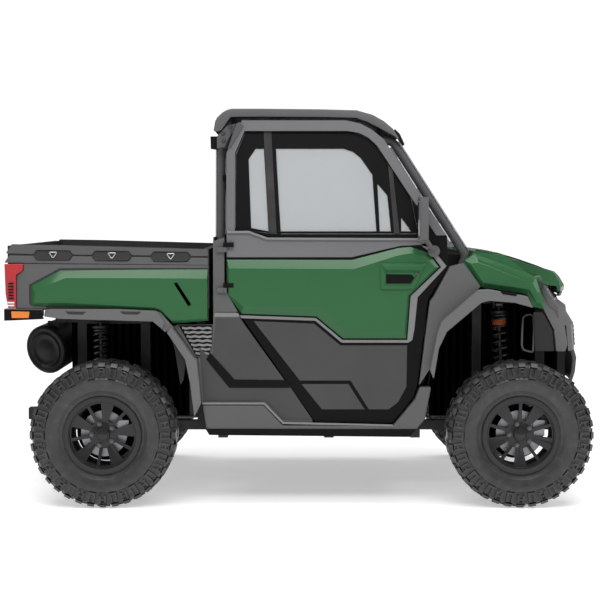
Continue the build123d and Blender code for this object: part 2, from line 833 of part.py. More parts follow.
# ---------------------------------------------------------------- front and rear glass
glass_gauge = 6
post_run = hypot(post_high[0] - post_low[0], post_high[1] - post_low[1])
up_x, up_z = (post_high[0] - post_low[0]) / post_run, (post_high[1] - post_low[1]) / post_run
screen_plane = Plane(origin=(post_low[0], 0, post_low[1]), x_dir=(0, 1, 0), z_dir=(up_z, 0, -up_x))
with BuildPart() as screen:
    with BuildSketch(screen_plane.offset(tube_radius + seat_clearance)):
        with BuildLine():
            Polyline(
                (-cage_side_belt - 16, 12),
                (cage_side_belt + 16, 12),
                (cage_side_top + 16, post_run - 16),
                (-cage_side_top - 16, post_run - 16),
                close=True,
            )
        make_face()
    extrude(amount=glass_gauge)
back_x = cage_rear_x - tube_radius - seat_clearance
back_low_z = rear_wall_top_z + seat_clearance
with BuildPart() as back_glass:
    with BuildSketch(Plane.YZ.offset(back_x)):
        with BuildLine():
            Polyline(
                (-cage_side_belt - 10, back_low_z),
                (cage_side_belt + 10, back_low_z),
                (cage_side_top + 10, cage_top_z - 30),
                (-cage_side_top - 10, cage_top_z - 30),
                close=True,
            )
        make_face()
    extrude(amount=-glass_gauge + 1)
save(joined(screen.part, back_glass.part), "cab_glass")

# ---------------------------------------------------------------- dash, column and steering wheel
dash_rear_x = fx(-560)
dash_outline = [
    (dash_rear_x, cowl_z - 60),
    (dash_rear_x - 20, cowl_z - 130),
    (dash_rear_x + 30, hub_z + 640),
    (fx(-290) - tub_wall - 0.6, hub_z + 680),
    (fx(-232) - tub_wall - 0.6, hub_z + 846),
    (fx(-250), hub_z + 905),
    (dash_rear_x + 120, cowl_z - 10),
]
dash_half = cage_side_belt - 30 - tube_radius - 8

wheel_side_y = 350
steer_rake = 42  # column slope from level
steer_radius = 178
steer_centre = Vector(fx(-642), wheel_side_y, hub_z + 960)
steer_axis = Vector(-cos(radians(steer_rake)), 0, sin(radians(steer_rake)))
column_foot = steer_centre - steer_axis * 250
column_head = steer_centre - steer_axis * (39 + 0.5)
column_radius = 34
save(rod(column_foot, column_head, column_radius), "steering_column")
column_void = rod(column_foot - steer_axis * 0.4, column_head, column_radius + seat_clearance)
save(cut(cross_plate(dash_outline, dash_half), column_void), "dashboard")
with BuildPart(Plane(origin=steer_centre, x_dir=(0, 1, 0), z_dir=steer_axis)) as steering_wheel:
    Torus(steer_radius, 14)
    with Locations((0, 0, -39)):
        Cylinder(30, 34, align=(Align.CENTER, Align.CENTER, Align.MIN))
    with Locations((0, 0, -22)):
        Cylinder(58, 22, align=(Align.CENTER, Align.CENTER, Align.MIN))
    with Locations((0, 0, -8)):
        Box(2 * steer_radius, 30, 10)
        with Locations((0, -steer_radius / 2, 0)):
            Box(34, steer_radius, 10)
save(steering_wheel.part, "steering_wheel")

# ---------------------------------------------------------------- seats
seat_half = riser_half - 5
cushion_z = seat_top_z + seat_clearance
seat_back_x = cage_rear_x + tube_radius + 6
cushion = block((seat_back_x + 104, -seat_half, cushion_z), (riser_x + 20, seat_half, cushion_z + 110))
save(cushion, "seat_cushion")
back_outline = [
    (seat_back_x, cushion_z),
    (seat_back_x + 103.7, cushion_z),
    (seat_back_x + 103.7, cushion_z + 120),
    (seat_back_x + 70, belt_z + 60),
    (seat_back_x + 20, belt_z + 60),
    (seat_back_x, belt_z - 60),
]
save(cross_plate(back_outline, seat_half), "seat_backrest")

# ---------------------------------------------------------------- side panels and sills
front_panel = [
    (fx(-290), hub_z + 868),
    (fx(-203), hub_z + 752),
    (fx(-420), hub_z + 523),
    (fx(-451), hub_z + 342),
    (fx(-511), hub_z + 250),
    (fx(-459), hub_z + 674),
    (fx(-440), hub_z + 700),
    (fx(-358), hub_z + 852),
]
quarter_panel = [
    (rx(559), hub_z + 710),
    (b_post_x - shut_gap, hub_z + 710),
    (b_post_x + 62, hub_z + 602),
    (rx(1072), hub_z + 48),
    (rx(916), hub_z + 48),
    (rx(818), hub_z + 155),
    (rx(501), hub_z + 153),
    (rx(480), hub_z + 388),
    (rx(536), hub_z + 390),
    (rx(556), hub_z + 443),
    (rx(559), hub_z + 556),
]
vent_outline = [
    (rx(374), hub_z + 556),
    (rx(558), hub_z + 556),
    (rx(555), hub_z + 444),
    (rx(535), hub_z + 391),
    (rx(468), hub_z + 391),
    (rx(358), hub_z + 546),
]
post_panel = [
    (rx(559), hub_z + 700),
    (b_post_x - shut_gap, hub_z + 700),
    (b_post_x - shut_gap, belt_z - 20),
    (rx(559), belt_z - 40),
]
panel_depth = door_side - tub_side - seat_clearance
front_side = side_panel(front_panel, 22, 30)
hinges = [post_hinge(z) for z in door_hinge_zs]
rear_side = joined(
    side_panel(quarter_panel, 6, panel_depth),
    side_panel(post_panel, 6, 40),
    side_panel(vent_outline, 0, 40),
    *hinges,
)
save(joined(both_sides(front_side), both_sides(rear_side)), "side_panels")

sill_outline = [
    (fx(-508), hub_z + 238),
    (fx(-450), hub_z + 238),
    (fx(-481), hub_z + 72),
    (fx(-559), hub_z - 17),
    (rx(541), hub_z - 5),
    (rx(524), hub_z + 21),
    (rx(502), hub_z + 146),
    (rx(815), hub_z + 146),
    (rx(913), hub_z + 42),
    (fx(-641), hub_z + 42),
    (fx(-530), hub_z + 178),
]
save(both_sides(side_panel(sill_outline, 24, panel_depth)), "side_sills")

# ---------------------------------------------------------------- wheel arch flares
front_flare = [
    (fx(-461), hub_z + 332),
    (fx(-423), hub_z + 525),
    (fx(-404), hub_z + 576),
    (fx(-218), hub_z + 736),
    (fx(-166), hub_z + 739),
    (fx(27), hub_z + 704),
    (fx(52), hub_z + 653),
    (fx(55), hub_z + 646),
    (fx(-38), hub_z + 672),
    (fx(-166), hub_z + 682),
    (fx(-205), hub_z + 672),
    (fx(-378), hub_z + 525),
    (fx(-417), hub_z + 441),
    (fx(-442), hub_z + 287),
]
rear_flare = [
    (rx(353), hub_z + 547),
    (rx(464), hub_z + 390),
    (rx(478), hub_z + 382),
    (rx(491), hub_z + 260),
    (rx(499), hub_z + 160),
    (rx(465), hub_z + 93),
    (rx(445), hub_z + 260),
    (rx(420), hub_z + 385),
    (rx(328), hub_z + 523),
]
flare_depth = flare_side - door_side
front_arch = side_panel(front_flare, flare_depth, -22 - seat_clearance)
rear_arch = side_panel(rear_flare, flare_depth, panel_depth)
save(joined(both_sides(front_arch), both_sides(rear_arch)), "wheel_arch_flares")

# ---------------------------------------------------------------- hood and front fenders
hood_half = 470
hood_line = [
    (fx(-212), hub_z + 926),
    (fx(-81), hub_z + 918),
    (fx(114), hub_z + 858),
    (fx(229), hub_z + 820),
    (fx(285), hub_z + 804),
    (fx(308), hub_z + 781),
    (fx(336), hub_z + 735),
    (fx(336), hub_z + 712),
]
hood_under = [
    (fx(322), hub_z + 712),
    (fx(318), hub_z + 730),
    (fx(294), hub_z + 768),
    (fx(276), hub_z + 786),
    (fx(222), hub_z + 802),
    (fx(108), hub_z + 838),
    (fx(-87), hub_z + 898),
    (fx(-212), hub_z + 908),
]
hood_skin = cross_plate(hood_line + hood_under, hood_half)
lug = joined(
    rod((hinge_x, -hinge_side - 16, hinge_z), (hinge_x, -hinge_side - 6, hinge_z), 10),
    block((hinge_x - 4, -hinge_side - 16, hinge_z), (hinge_x + 10, -hinge_side - 6, hub_z + 912)),
)
lug_bore = rod(
    (hinge_x, -hinge_side - 20, hinge_z), (hinge_x, -hinge_side, hinge_z), hinge_pin_radius + running_fit
)
save(joined(hood_skin, both_sides(cut(lug, lug_bore))), "hood_panel")

fender_top = [
    (fx(-289.6), hub_z + 868.3),
    (fx(-233), cowl_z - 7),
    (fx(-81), hub_z + 912),
    (fx(60), hub_z + 802),
    (fx(72), hub_z + 789),
    (fx(106), hub_z + 719),
    (fx(131), hub_z + 648),
    (fx(123), hub_z + 635),
    (fx(64), hub_z + 648),
    (fx(57), hub_z + 662),
    (fx(34), hub_z + 711),
    (fx(-164), hub_z + 748),
    (fx(-202.6), hub_z + 752.3),
]
fender_side = side_plate(fender_top, door_side - 4, door_side + 22)
fender_deck = side_plate(
    [
        (fx(-225), cowl_z - 12),
        (fx(-81), hub_z + 906),
        (fx(60), hub_z + 800),
        (fx(250), hub_z + 770),
        (fx(250), hub_z + 756),
        (fx(52), hub_z + 786),
        (fx(-87), hub_z + 890),
        (fx(-225), cowl_z - 30),
    ],
    hood_half + shut_gap,
    door_side,
)
save(both_sides(joined(fender_side, fender_deck)), "front_fenders")

# ---------------------------------------------------------------- fascia, bumper and headlamps
fascia_outline = [
    (fx(250), hub_z + 744),
    (fx(301), hub_z + 655),
    (fx(340), hub_z + 627),
    (fx(345), hub_z + 594),
    (fx(379), hub_z + 538),
    (fx(390), hub_z + 387),
    (fx(402), hub_z + 348),
    (fx(396), hub_z + 275),
    (fx(379), hub_z + 219),
    (fx(364.5), hub_z + 219),
    (fx(378), hub_z + 280),
    (fx(383), hub_z + 346),
    (fx(372), hub_z + 384),
    (fx(361), hub_z + 532),
    (fx(328), hub_z + 588),
    (fx(322), hub_z + 616),
    (fx(286), hub_z + 640),
    (fx(236), hub_z + 730),
]
fascia_half = 590
bumper_half = 370  # narrow below, so that the steered wheels clear it
lamp_low_z, lamp_high_z = hub_z + 665, hub_z + 733
lamp_inner, lamp_outer = 335, 556
with BuildPart() as fascia:
    with BuildSketch(Plane.XY.offset(hub_z - 100)):
        with BuildLine():
            Polyline(
                (fx(0), -fascia_half),
                (fx(330), -fascia_half),
                (fx(402), -420),
                (fx(402), 420),
                (fx(330), fascia_half),
                (fx(0), fascia_half),
                close=True,
            )
        make_face()
    extrude(amount=1200)
    add(cross_plate(fascia_outline, fascia_half), mode=Mode.INTERSECT)
wing = block((fx(0), -fascia_half - 1, hub_z), (fx(500), -bumper_half, hub_z + 400))
lamp_window = block(
    (fx(0), -lamp_outer - seat_clearance, lamp_low_z - seat_clearance),
    (fx(500), -lamp_inner + seat_clearance, lamp_high_z + seat_clearance),
)
save(cut(fascia.part, both_sides(wing), both_sides(lamp_window)), "front_fascia")
lamp = side_plate(
    [(fx(180), lamp_low_z), (fx(294), lamp_low_z), (fx(254), lamp_high_z), (fx(180), lamp_high_z)],
    lamp_inner,
    lamp_outer,
)
save(both_sides(lamp), "headlamps")

# ---------------------------------------------------------------- wheel well liners
liner_line = [
    (fx(-461), hub_z + 246),
    (fx(-440), hub_z + 430),
    (fx(-394), hub_z + 535),
    (fx(-214), hub_z + 688),
    (fx(-166), hub_z + 696),
    (fx(-30), hub_z + 686),
    (fx(44), hub_z + 667),
]
liner_gauge = 4
liner_in = [(x + 3, z - liner_gauge) for x, z in liner_line]
liner = side_plate(liner_line + liner_in[::-1], frame_side + half_tube + seat_clearance, door_side - 30 - seat_clearance)
save(both_sides(liner), "wheel_well_liners")

# ---------------------------------------------------------------- tow hitch
receiver_rear_x = rx(-520)
receiver_z = frame_z + 45
receiver_outer = 64
receiver_bore = 51
pin_radius = 8
hitch_tube = block(
    (receiver_rear_x, -receiver_outer / 2, receiver_z - receiver_outer / 2),
    (frame_rear_x - seat_clearance, receiver_outer / 2, receiver_z + receiver_outer / 2),
)
hitch_socket = block(
    (receiver_rear_x - 1, -receiver_bore / 2, receiver_z - receiver_bore / 2),
    (receiver_rear_x + 100, receiver_bore / 2, receiver_z + receiver_bore / 2),
)
pin_hole = rod((receiver_rear_x + 60, -60, receiver_z), (receiver_rear_x + 60, 60, receiver_z), pin_radius)
save(cut(hitch_tube, hitch_socket, pin_hole), "hitch_receiver")

# ---------------------------------------------------------------- cargo bed
bed_wall = 34
bed_floor = 20
bed_inner_side = bed_side - bed_wall
gate_thickness = 40
bed_outer = block((bed_rear_x + gate_thickness + shut_gap, -bed_side, bed_under_z), (bed_front_x, bed_side, bed_rail_z - 22))
bed_hollow = block((bed_rear_x - 10, -bed_inner_side, bed_floor_z), (bed_front_x - bed_wall, bed_inner_side, bed_rail_z + 60))
rail_outline = [
    (bed_rear_x + 30, bed_rail_z + 2),
    (rx(-201), bed_rail_z - 2),
    (bed_front_x - 4, bed_rail_z - 22),
    (bed_front_x - 4, bed_rail_z - 103),
    (rx(-471), bed_rail_z - 89),
    (bed_rear_x - 7, bed_rail_z - 89),
    (bed_rear_x + 20, bed_rail_z - 48),
    (bed_rear_x + 2, bed_rail_z - 40),
]
rail = side_plate(rail_outline, bed_inner_side, bed_side)
pivot_ear_side = frame_side + half_tube + 13
pivot_ear = side_plate(
    [
        (bed_pivot_x - 40, bed_under_z + 1),
        (bed_pivot_x - 26, bed_pivot_z - 24),
        (bed_pivot_x + 26, bed_pivot_z - 24),
        (bed_pivot_x + 40, bed_under_z + 1),
    ],
    pivot_ear_side - 6,
    pivot_ear_side + 6,
    radius=10,
)
pivot_pin = rod(
    (bed_pivot_x, -pivot_ear_side - 6, bed_pivot_z), (bed_pivot_x, -frame_side + half_tube + 2, bed_pivot_z), pivot_pin_radius
)
gate_pin_x, gate_pin_z = bed_rear_x + 12, bed_floor_z - 10
gate_pin_radius = 5
gate_ear_side = 400


def gate_ear():
    """Ear and pin under the rear edge of the bed floor, for the tailgate."""
    ear = side_plate(
        [
            (gate_pin_x + 40, bed_under_z),
            (gate_pin_x - 4, bed_under_z),
            (gate_pin_x - 4, gate_pin_z + 7),
            (gate_pin_x + 40, gate_pin_z + 7),
        ],
        gate_ear_side,
        gate_ear_side + 12,
    )
    pin = rod((gate_pin_x, -gate_ear_side, gate_pin_z), (gate_pin_x, -gate_ear_side - 30, gate_pin_z), gate_pin_radius)
    return joined(ear, pin)


bed_body = joined(cut(bed_outer, bed_hollow), both_sides(rail), both_sides(pivot_ear), both_sides(pivot_pin), both_sides(gate_ear()))
save(bed_body, "cargo_bed")

panel_top = [
    (rx(-366), hub_z + 756),
    (rx(-217), hub_z + 835),
    (bed_front_x - 3, hub_z + 840),
    (bed_front_x - 3, hub_z + 577),
    (rx(357), hub_z + 562),
    (rx(290), hub_z + 621),
    (rx(268), hub_z + 629),
    (rx(-200), hub_z + 651),
    (rx(-359), hub_z + 650),
    (rx(-368), hub_z + 661),
]
panel_low = [
    (rx(-271), bed_under_z - seat_clearance),
    (rx(262), bed_under_z - seat_clearance),
    (rx(290), hub_z + 604),
    (rx(318), hub_z + 567),
    (rx(300), hub_z + 538),
    (rx(255), hub_z + 575),
    (rx(-219), hub_z + 589),
    (rx(-293), hub_z + 600),
]
side_bar = [
    (bed_rear_x - 10, bed_under_z - seat_clearance),
    (rx(-307), bed_under_z - seat_clearance),
    (rx(-307), hub_z + 600),
    (bed_rear_x - 10, hub_z + 584),
]
green = side_plate(panel_top, bed_side + seat_clearance, bed_side + 10)
trim_clear = side_plate(panel_top, bed_side - 1, bed_side + 40)
trim = cut(side_plate(panel_low, bed_side - 60, bed_side + 30), trim_clear)
tail_bar = side_plate(side_bar, bed_side - 40, bed_side + 10)
save(both_sides(green), "bed_side_panels")
save(joined(both_sides(trim), both_sides(tail_bar)), "bed_trim")

tail_outline = [
    (bed_rear_x - 6, bed_rail_z - 97),
    (rx(-401), bed_rail_z - 97),
    (rx(-403), bed_rail_z - 129),
    (rx(-437), bed_rail_z - 153),
    (rx(-439), hub_z + 642),
    (bed_rear_x + 10, hub_z + 642),
    (bed_rear_x - 2, hub_z + 713),
]
save(both_sides(side_plate(tail_outline, bed_side + seat_clearance, bed_side + 14)), "tail_lamps")

gate_half = bed_inner_side - shut_gap
gate = block((bed_rear_x, -gate_half, bed_floor_z + 4), (bed_rear_x + gate_thickness, gate_half, bed_rail_z - 6))
gate_lug = joined(
    block((bed_rear_x + 4, -gate_ear_side - 26, gate_pin_z), (bed_rear_x + 20, -gate_ear_side - 14, bed_floor_z + 5)),
    rod((gate_pin_x, -gate_ear_side - 26, gate_pin_z), (gate_pin_x, -gate_ear_side - 14, gate_pin_z), 8),
)
gate_bore = rod(
    (gate_pin_x, -gate_ear_side - 40, gate_pin_z),
    (gate_pin_x, -gate_ear_side, gate_pin_z),
    gate_pin_radius + running_fit,
)
save(joined(gate, both_sides(cut(gate_lug, gate_bore))), "tailgate")
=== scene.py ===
"""Side-by-side utility vehicle with a closed cab and a tipping cargo bed, in metres.
+X is forward, +Y the vehicle's left, +Z up, and the ground is Z = 0."""

import json
import math

import bmesh
import bpy
from mathutils import Matrix, Vector


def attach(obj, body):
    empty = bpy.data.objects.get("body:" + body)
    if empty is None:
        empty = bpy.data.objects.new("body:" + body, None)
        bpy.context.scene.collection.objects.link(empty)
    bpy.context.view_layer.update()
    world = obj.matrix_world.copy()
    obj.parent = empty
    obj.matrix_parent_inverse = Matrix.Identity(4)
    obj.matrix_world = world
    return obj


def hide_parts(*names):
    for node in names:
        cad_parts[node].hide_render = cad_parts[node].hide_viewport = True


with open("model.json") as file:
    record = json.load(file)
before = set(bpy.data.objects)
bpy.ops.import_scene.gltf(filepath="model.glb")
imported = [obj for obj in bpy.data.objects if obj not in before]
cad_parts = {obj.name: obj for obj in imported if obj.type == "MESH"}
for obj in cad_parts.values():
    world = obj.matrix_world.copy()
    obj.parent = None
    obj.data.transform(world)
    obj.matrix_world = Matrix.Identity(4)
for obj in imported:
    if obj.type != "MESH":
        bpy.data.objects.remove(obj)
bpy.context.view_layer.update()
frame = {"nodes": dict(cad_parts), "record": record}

# ---------------------------------------------------------------- camera
# A long lens level with the window line, looking square at the vehicle's right side.
camera = bpy.data.objects.new("camera", bpy.data.cameras.new("camera"))
camera.data.lens = 84
camera.data.sensor_width = 36
camera.data.clip_end = 80
camera_distance, camera_height, downward_slope = 7.82, 1.485, 85 / 1400
camera.location = (0, -camera_distance, camera_height)
camera.rotation_euler = (math.pi / 2 - math.atan(downward_slope), 0, 0)
bpy.context.scene.collection.objects.link(camera)
bpy.context.scene.camera = camera

# ---------------------------------------------------------------- studio light
# White room shown at its true tones: a high wide softbox on the near side that picks out upward edges, a
# soft light straight from above, and weaker boxes at the two ends.
bpy.context.scene.view_settings.view_transform = "Standard"
world = bpy.data.worlds.new("studio")
bpy.context.scene.world = world
world.use_nodes = True
backdrop = world.node_tree.nodes["Background"]
backdrop.inputs["Color"].default_value = (1, 1, 1, 1)
ray_kind = world.node_tree.nodes.new("ShaderNodeLightPath")
glow = world.node_tree.nodes.new("ShaderNodeMapRange")  # full white as backdrop, dimmer as a light
glow.inputs["To Min"].default_value = 0.26
glow.inputs["To Max"].default_value = 1.05
world.node_tree.links.new(ray_kind.outputs["Is Camera Ray"], glow.inputs["Value"])
world.node_tree.links.new(glow.outputs["Result"], backdrop.inputs["Strength"])


def lamp(name, kind, place, aim, power, **settings):
    light = bpy.data.lights.new(name, kind)
    light.energy = power
    for key, value in settings.items():
        setattr(light, key, value)
    holder = bpy.data.objects.new(name, light)
    holder.location = place
    holder.rotation_euler = (Vector(aim) - Vector(place)).to_track_quat("-Z", "Y").to_euler()
    bpy.context.scene.collection.objects.link(holder)


lamp("sky_light", "SUN", (0, 0, 6), (0, 0, 0), 2.3, angle=math.radians(50))
lamp("near_box", "AREA", (0, -4.6, 5.4), (0, 0, 0.9), 300, shape="RECTANGLE", size=7.0, size_y=1.8)
lamp("front_box", "AREA", (5.5, -1.5, 3.4), (0, 0, 0.9), 70, shape="RECTANGLE", size=1.6, size_y=3.0)
lamp("rear_box", "AREA", (-5.5, -1.5, 3.4), (0, 0, 0.9), 55, shape="RECTANGLE", size=1.6, size_y=3.0)


# ---------------------------------------------------------------- studio floor
# Seamless white floor under the vehicle. Every finish below is written with the two classes here.
class Value:
    """A shader socket in a sum: arithmetic on it adds Math nodes."""

    def __init__(self, paint, socket):
        self.paint, self.socket = paint, socket

    def maths(self, operation, a, b):
        return self.paint.node("ShaderNodeMath", {"operation": operation}, {0: a, 1: b})

    def __add__(self, other):
        return self.maths("ADD", self, other)

    def __mul__(self, other):
        return self.maths("MULTIPLY", self, other)

    def __pow__(self, other):
        return self.maths("POWER", self, other)


class Paint:
    """One finish. Constants sit on the shader's own sockets, and varying values are linked."""

    def __init__(self, name, **constants):
        self.material = bpy.data.materials.new(name)
        self.material.use_nodes = True
        self.tree = self.material.node_tree
        self.shader = self.tree.nodes["Principled BSDF"]
        for socket, value in constants.items():
            self.shader.inputs[socket.replace("_", " ")].default_value = value

    def node(self, kind, settings=None, inputs=None, out=0):
        made = self.tree.nodes.new(kind)
        for key, value in (settings or {}).items():
            setattr(made, key, value)
        for key, value in (inputs or {}).items():
            if isinstance(value, Value):
                self.tree.links.new(value.socket, made.inputs[key])
            else:
                made.inputs[key].default_value = value
        return Value(self, made.outputs[out])

    def noise(self, scale, detail=2.0):
        """Noise in the piece's own coordinates."""
        place = self.node("ShaderNodeTexCoord", out="Object")
        return self.node("ShaderNodeTexNoise", None, {"Vector": place, "Scale": scale, "Detail": detail})

    def between(self, share, one, other):
        """Colour between two colours (or linked colours)."""
        return self.node("ShaderNodeMix", {"data_type": "RGBA"}, {0: share, 6: one, 7: other}, out=2)

    def bump(self, height, distance):
        return self.node("ShaderNodeBump", None, {"Height": height, "Distance": distance, "Strength": 1.0})

    def link(self, **values):
        for socket, value in values.items():
            self.tree.links.new(value.socket, self.shader.inputs[socket.replace("_", " ")])
        return self.material


def shade(colour, factor):
    return (*[min(1.0, part * factor) for part in colour[:3]], 1.0)


dust_tone = (0.30, 0.28, 0.25, 1.0)


def finish(name, colour, roughness, grain=500.0, depth=0.00005, cloud=0.1, dust=0.0, **constants):
    """Finish with a fine grain in its surface, slow changes of tone, and dust where the noise is high."""
    paint = Paint(name, **{"Specular_IOR_Level": 0.16, **constants})
    slow, fine = paint.noise(2.6, 3.0), paint.noise(grain)
    tone = paint.between(slow, shade(colour, 1 - cloud), shade(colour, 1 + cloud))
    if dust:
        film = paint.noise(7.0, 5.0) ** 3.0 * dust
        tone = paint.between(film, tone, dust_tone)
    rough = fine * 0.14 + slow * 0.10 + (roughness - 0.12)
    return paint.link(Base_Color=tone, Roughness=rough, Normal=paint.bump(fine, depth))


def placed_mesh(name, mesh):
    thing = bpy.data.objects.new(name, mesh)
    bpy.context.scene.collection.objects.link(thing)
    return thing


floor_mesh = bmesh.new()
bmesh.ops.create_grid(floor_mesh, x_segments=2, y_segments=2, size=40)
floor_data = bpy.data.meshes.new("floor")
floor_mesh.to_mesh(floor_data)
floor = placed_mesh("floor", floor_data)
floor.data.materials.append(
    finish("floor_white", (0.66, 0.66, 0.66), 0.75, grain=90, cloud=0.003,
           Emission_Color=(1, 1, 1, 1), Emission_Strength=0.46, Specular_IOR_Level=0.0)
)

# ---------------------------------------------------------------- chassis frame and running gear
# Welded square-tube frame, powder-coated satin black, with forged arms bolted to it. Each CAD piece is
# shown through a copy with its doubles merged and its corners rounded as the real ones are.
bodies = frame["record"]["behaviour"]["bodies"]
body_of_node = {node: body for body, nodes in bodies.items() for node in nodes}


def soften(piece, width, segments=2, angle=30):
    """Rounds the edges of a piece where its faces turn by more than `angle` degrees."""
    edge = piece.modifiers.new("edges", "BEVEL")
    edge.width, edge.segments, edge.limit_method = width, segments, "ANGLE"
    edge.angle_limit, edge.harden_normals = math.radians(angle), True


def rounded(node, width, material, segments=2, angle=28):
    """Shows a CAD node through a copy of it with rounded edges, on the node's own body."""
    mesh = bmesh.new()
    mesh.from_mesh(frame["nodes"][node].data)
    bmesh.ops.remove_doubles(mesh, verts=mesh.verts, dist=2e-5)
    bmesh.ops.dissolve_limit(mesh, angle_limit=math.radians(0.6), verts=mesh.verts, edges=mesh.edges)
    for face in mesh.faces:
        face.smooth = True
    data = bpy.data.meshes.new(f"{node}_shell")
    mesh.to_mesh(data)
    data.set_sharp_from_angle(angle=math.radians(angle))
    shell = placed_mesh(f"{node}_shell", data)
    data.materials.append(material)
    if width:
        soften(shell, width, segments, angle)
    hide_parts(node)
    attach(shell, body_of_node[node])
    return shell


frame_black = finish("frame_powder_coat", (0.022, 0.022, 0.023), 0.48, grain=900, dust=0.25)
arm_black = finish("arm_paint", (0.018, 0.018, 0.019), 0.42, grain=700, dust=0.3)
cast_grey = finish("cast_aluminium", (0.32, 0.32, 0.33), 0.5, grain=1400, depth=0.00009, Metallic=1.0)
steel = finish("zinc_steel", (0.5, 0.5, 0.5), 0.34, grain=300, Metallic=1.0)
rounded("chassis_frame", 0.004, frame_black)
rounded("suspension_arms", 0, arm_black)
rounded("front_knuckle_left", 0.003, cast_grey)
rounded("front_knuckle_right", 0.003, cast_grey)
rounded("rear_knuckles", 0.003, cast_grey)
rounded("drive_line", 0.003, finish("gear_case", (0.05, 0.05, 0.052), 0.5, grain=900, Metallic=0.6))
rounded("hitch_receiver", 0.0015, frame_black)

# ---------------------------------------------------------------- coil-over shocks
# Four dampers between the arms and the towers, black tube and bright rod, each inside a steel coil wound
# from one round wire, with its ends closed. The front coils sit under an orange preload collar.
spring_paint = finish("spring_black", (0.02, 0.02, 0.021), 0.35, grain=500, dust=0.05, Coat_Weight=0.4)
rounded("shock_absorbers", 0.0012, finish("damper_tube", (0.06, 0.06, 0.062), 0.34, grain=800, Metallic=0.8))
spring_ends = {
    "front": ((1.0708, 0.4330, 0.4360), (1.0573, 0.3892, 0.9619)),
    "rear": ((-1.0475, 0.4320, 0.4359), (-1.0605, 0.3897, 0.8819)),
}
wire_radius, coil_radius, coil_turns, steps_per_turn = 0.0066, 0.0350, 15, 20
closed_share = 0.07  # of the length of wire, at each end
sides = (("right", -1), ("left", 1))


def as_piece(name, mesh, material, body, sharp=35, merge=1e-5):
    """Makes a finished piece of a bmesh: doubles merged, faces outwards, smooth but for sharp edges."""
    bmesh.ops.remove_doubles(mesh, verts=mesh.verts, dist=merge)
    bmesh.ops.recalc_face_normals(mesh, faces=mesh.faces)
    for face in mesh.faces:
        face.smooth = True
    data = bpy.data.meshes.new(name)
    mesh.to_mesh(data)
    mesh.free()
    data.set_sharp_from_angle(angle=math.radians(sharp))
    piece = placed_mesh(name, data)
    data.materials.append(material)
    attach(piece, body)
    return piece


def tube_of(name, points, radius, material, body, sides=10, cyclic=False):
    """Round bar, wire or hose along a smooth line, as a mesh."""
    path = bpy.data.curves.new(name, "CURVE")
    path.dimensions, path.use_fill_caps = "3D", True
    path.bevel_depth, path.bevel_resolution = radius, sides // 4
    line = path.splines.new("POLY")
    line.points.add(len(points) - 1)
    for knot, point in zip(line.points, points):
        knot.co = (*point, 1)
    line.use_cyclic_u = cyclic
    holder = bpy.data.objects.new(name, path)
    data = bpy.data.meshes.new_from_object(holder)
    bpy.data.objects.remove(holder)
    bpy.data.curves.remove(path)
    for face in data.polygons:
        face.use_smooth = True
    piece = placed_mesh(name, data)
    data.materials.clear()
    data.materials.append(material)
    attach(piece, body)
    return piece


for place, (foot, head) in spring_ends.items():
    for side_name, side in sides:
        low, high = (Vector((end[0], end[1] * side, end[2])) for end in (foot, head))
        axis = (high - low).normalized()
        across = axis.cross(Vector((1, 0, 0))).normalized()
        ahead = axis.cross(across)
        inset = axis * (wire_radius + 0.002)
        wire = []
        steps = coil_turns * steps_per_turn
        for step in range(steps + 1):
            share, turn = step / steps, step / steps_per_turn * 2 * math.pi
            rise = min(max((share - closed_share) / (1 - 2 * closed_share), 0), 1)
            centre = low + inset + (high - low - 2 * inset) * (0.03 * share + 0.97 * rise)
            wire.append(centre + (across * math.cos(turn) + ahead * math.sin(turn)) * coil_radius)
        coil = tube_of(f"coil_{place}_{side_name}", wire, wire_radius, spring_paint, "chassis", sides=8)
        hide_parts("coil_springs")

# ---------------------------------------------------------------- engine bay and exhaust
# Cast engine and clutch case, finned aluminium radiator, and the satin black silencer across the tail
# with a pressed rim round its end cap.
rounded("engine", 0.02, finish("engine_case", (0.09, 0.09, 0.095), 0.5, grain=700, dust=0.3, Metallic=0.7))
rounded("radiator", 0.004, finish("radiator_black", (0.03, 0.03, 0.03), 0.5, grain=700))
silencer_black = finish("silencer_black", (0.02, 0.02, 0.021), 0.36, grain=900, dust=0.12)
rounded("muffler", 0.003, silencer_black)

# ---------------------------------------------------------------- cab tub and wheel wells
# Rotation-moulded floor, riser and firewall in black polyethylene, and pressed black liners over the wheels.
tub_black = finish("tub_plastic", (0.010, 0.010, 0.011), 0.6, grain=450, depth=0.00012, dust=0.10,
                   Specular_IOR_Level=0.2)
rounded("cab_tub", 0.006, tub_black)
rounded("wheel_well_liners", 0.003, tub_black)

# ---------------------------------------------------------------- roll cage
# Bent round steel tube, powder-coated satin black, with laser-cut gussets bolted in the rear top corners.
cage_black = finish("cage_powder_coat", (0.068, 0.068, 0.07), 0.4, grain=900, depth=0.00004)
rounded("roll_cage", 0.0008, cage_black, angle=40)

# ---------------------------------------------------------------- moulded body panels
# Grained grey thermoplastic: side panels, sills, flares, fascia and bed trim, each with its edges rolled
# over, and metallic green on the fenders, hood and bed sides.
panel_grey = finish("panel_grey", (0.088, 0.088, 0.090), 0.42, grain=420, depth=0.00007, dust=0.04)
flare_grey = finish("flare_grey", (0.112, 0.112, 0.114), 0.42, grain=420, depth=0.00007, dust=0.04)
dark_grey = finish("dark_grey", (0.03, 0.03, 0.031), 0.5, grain=420, depth=0.00007, dust=0.04)
green = finish("green_metallic", (0.019, 0.090, 0.031), 0.34, grain=1800, depth=0.00002, cloud=0.04,
               Coat_Weight=0.36, Coat_Roughness=0.12, Specular_IOR_Level=0.1)
rounded("side_panels", 0.006, panel_grey)
rounded("side_sills", 0.008, panel_grey)
rounded("wheel_arch_flares", 0.009, flare_grey, segments=3)
rounded("bed_trim", 0.005, flare_grey)
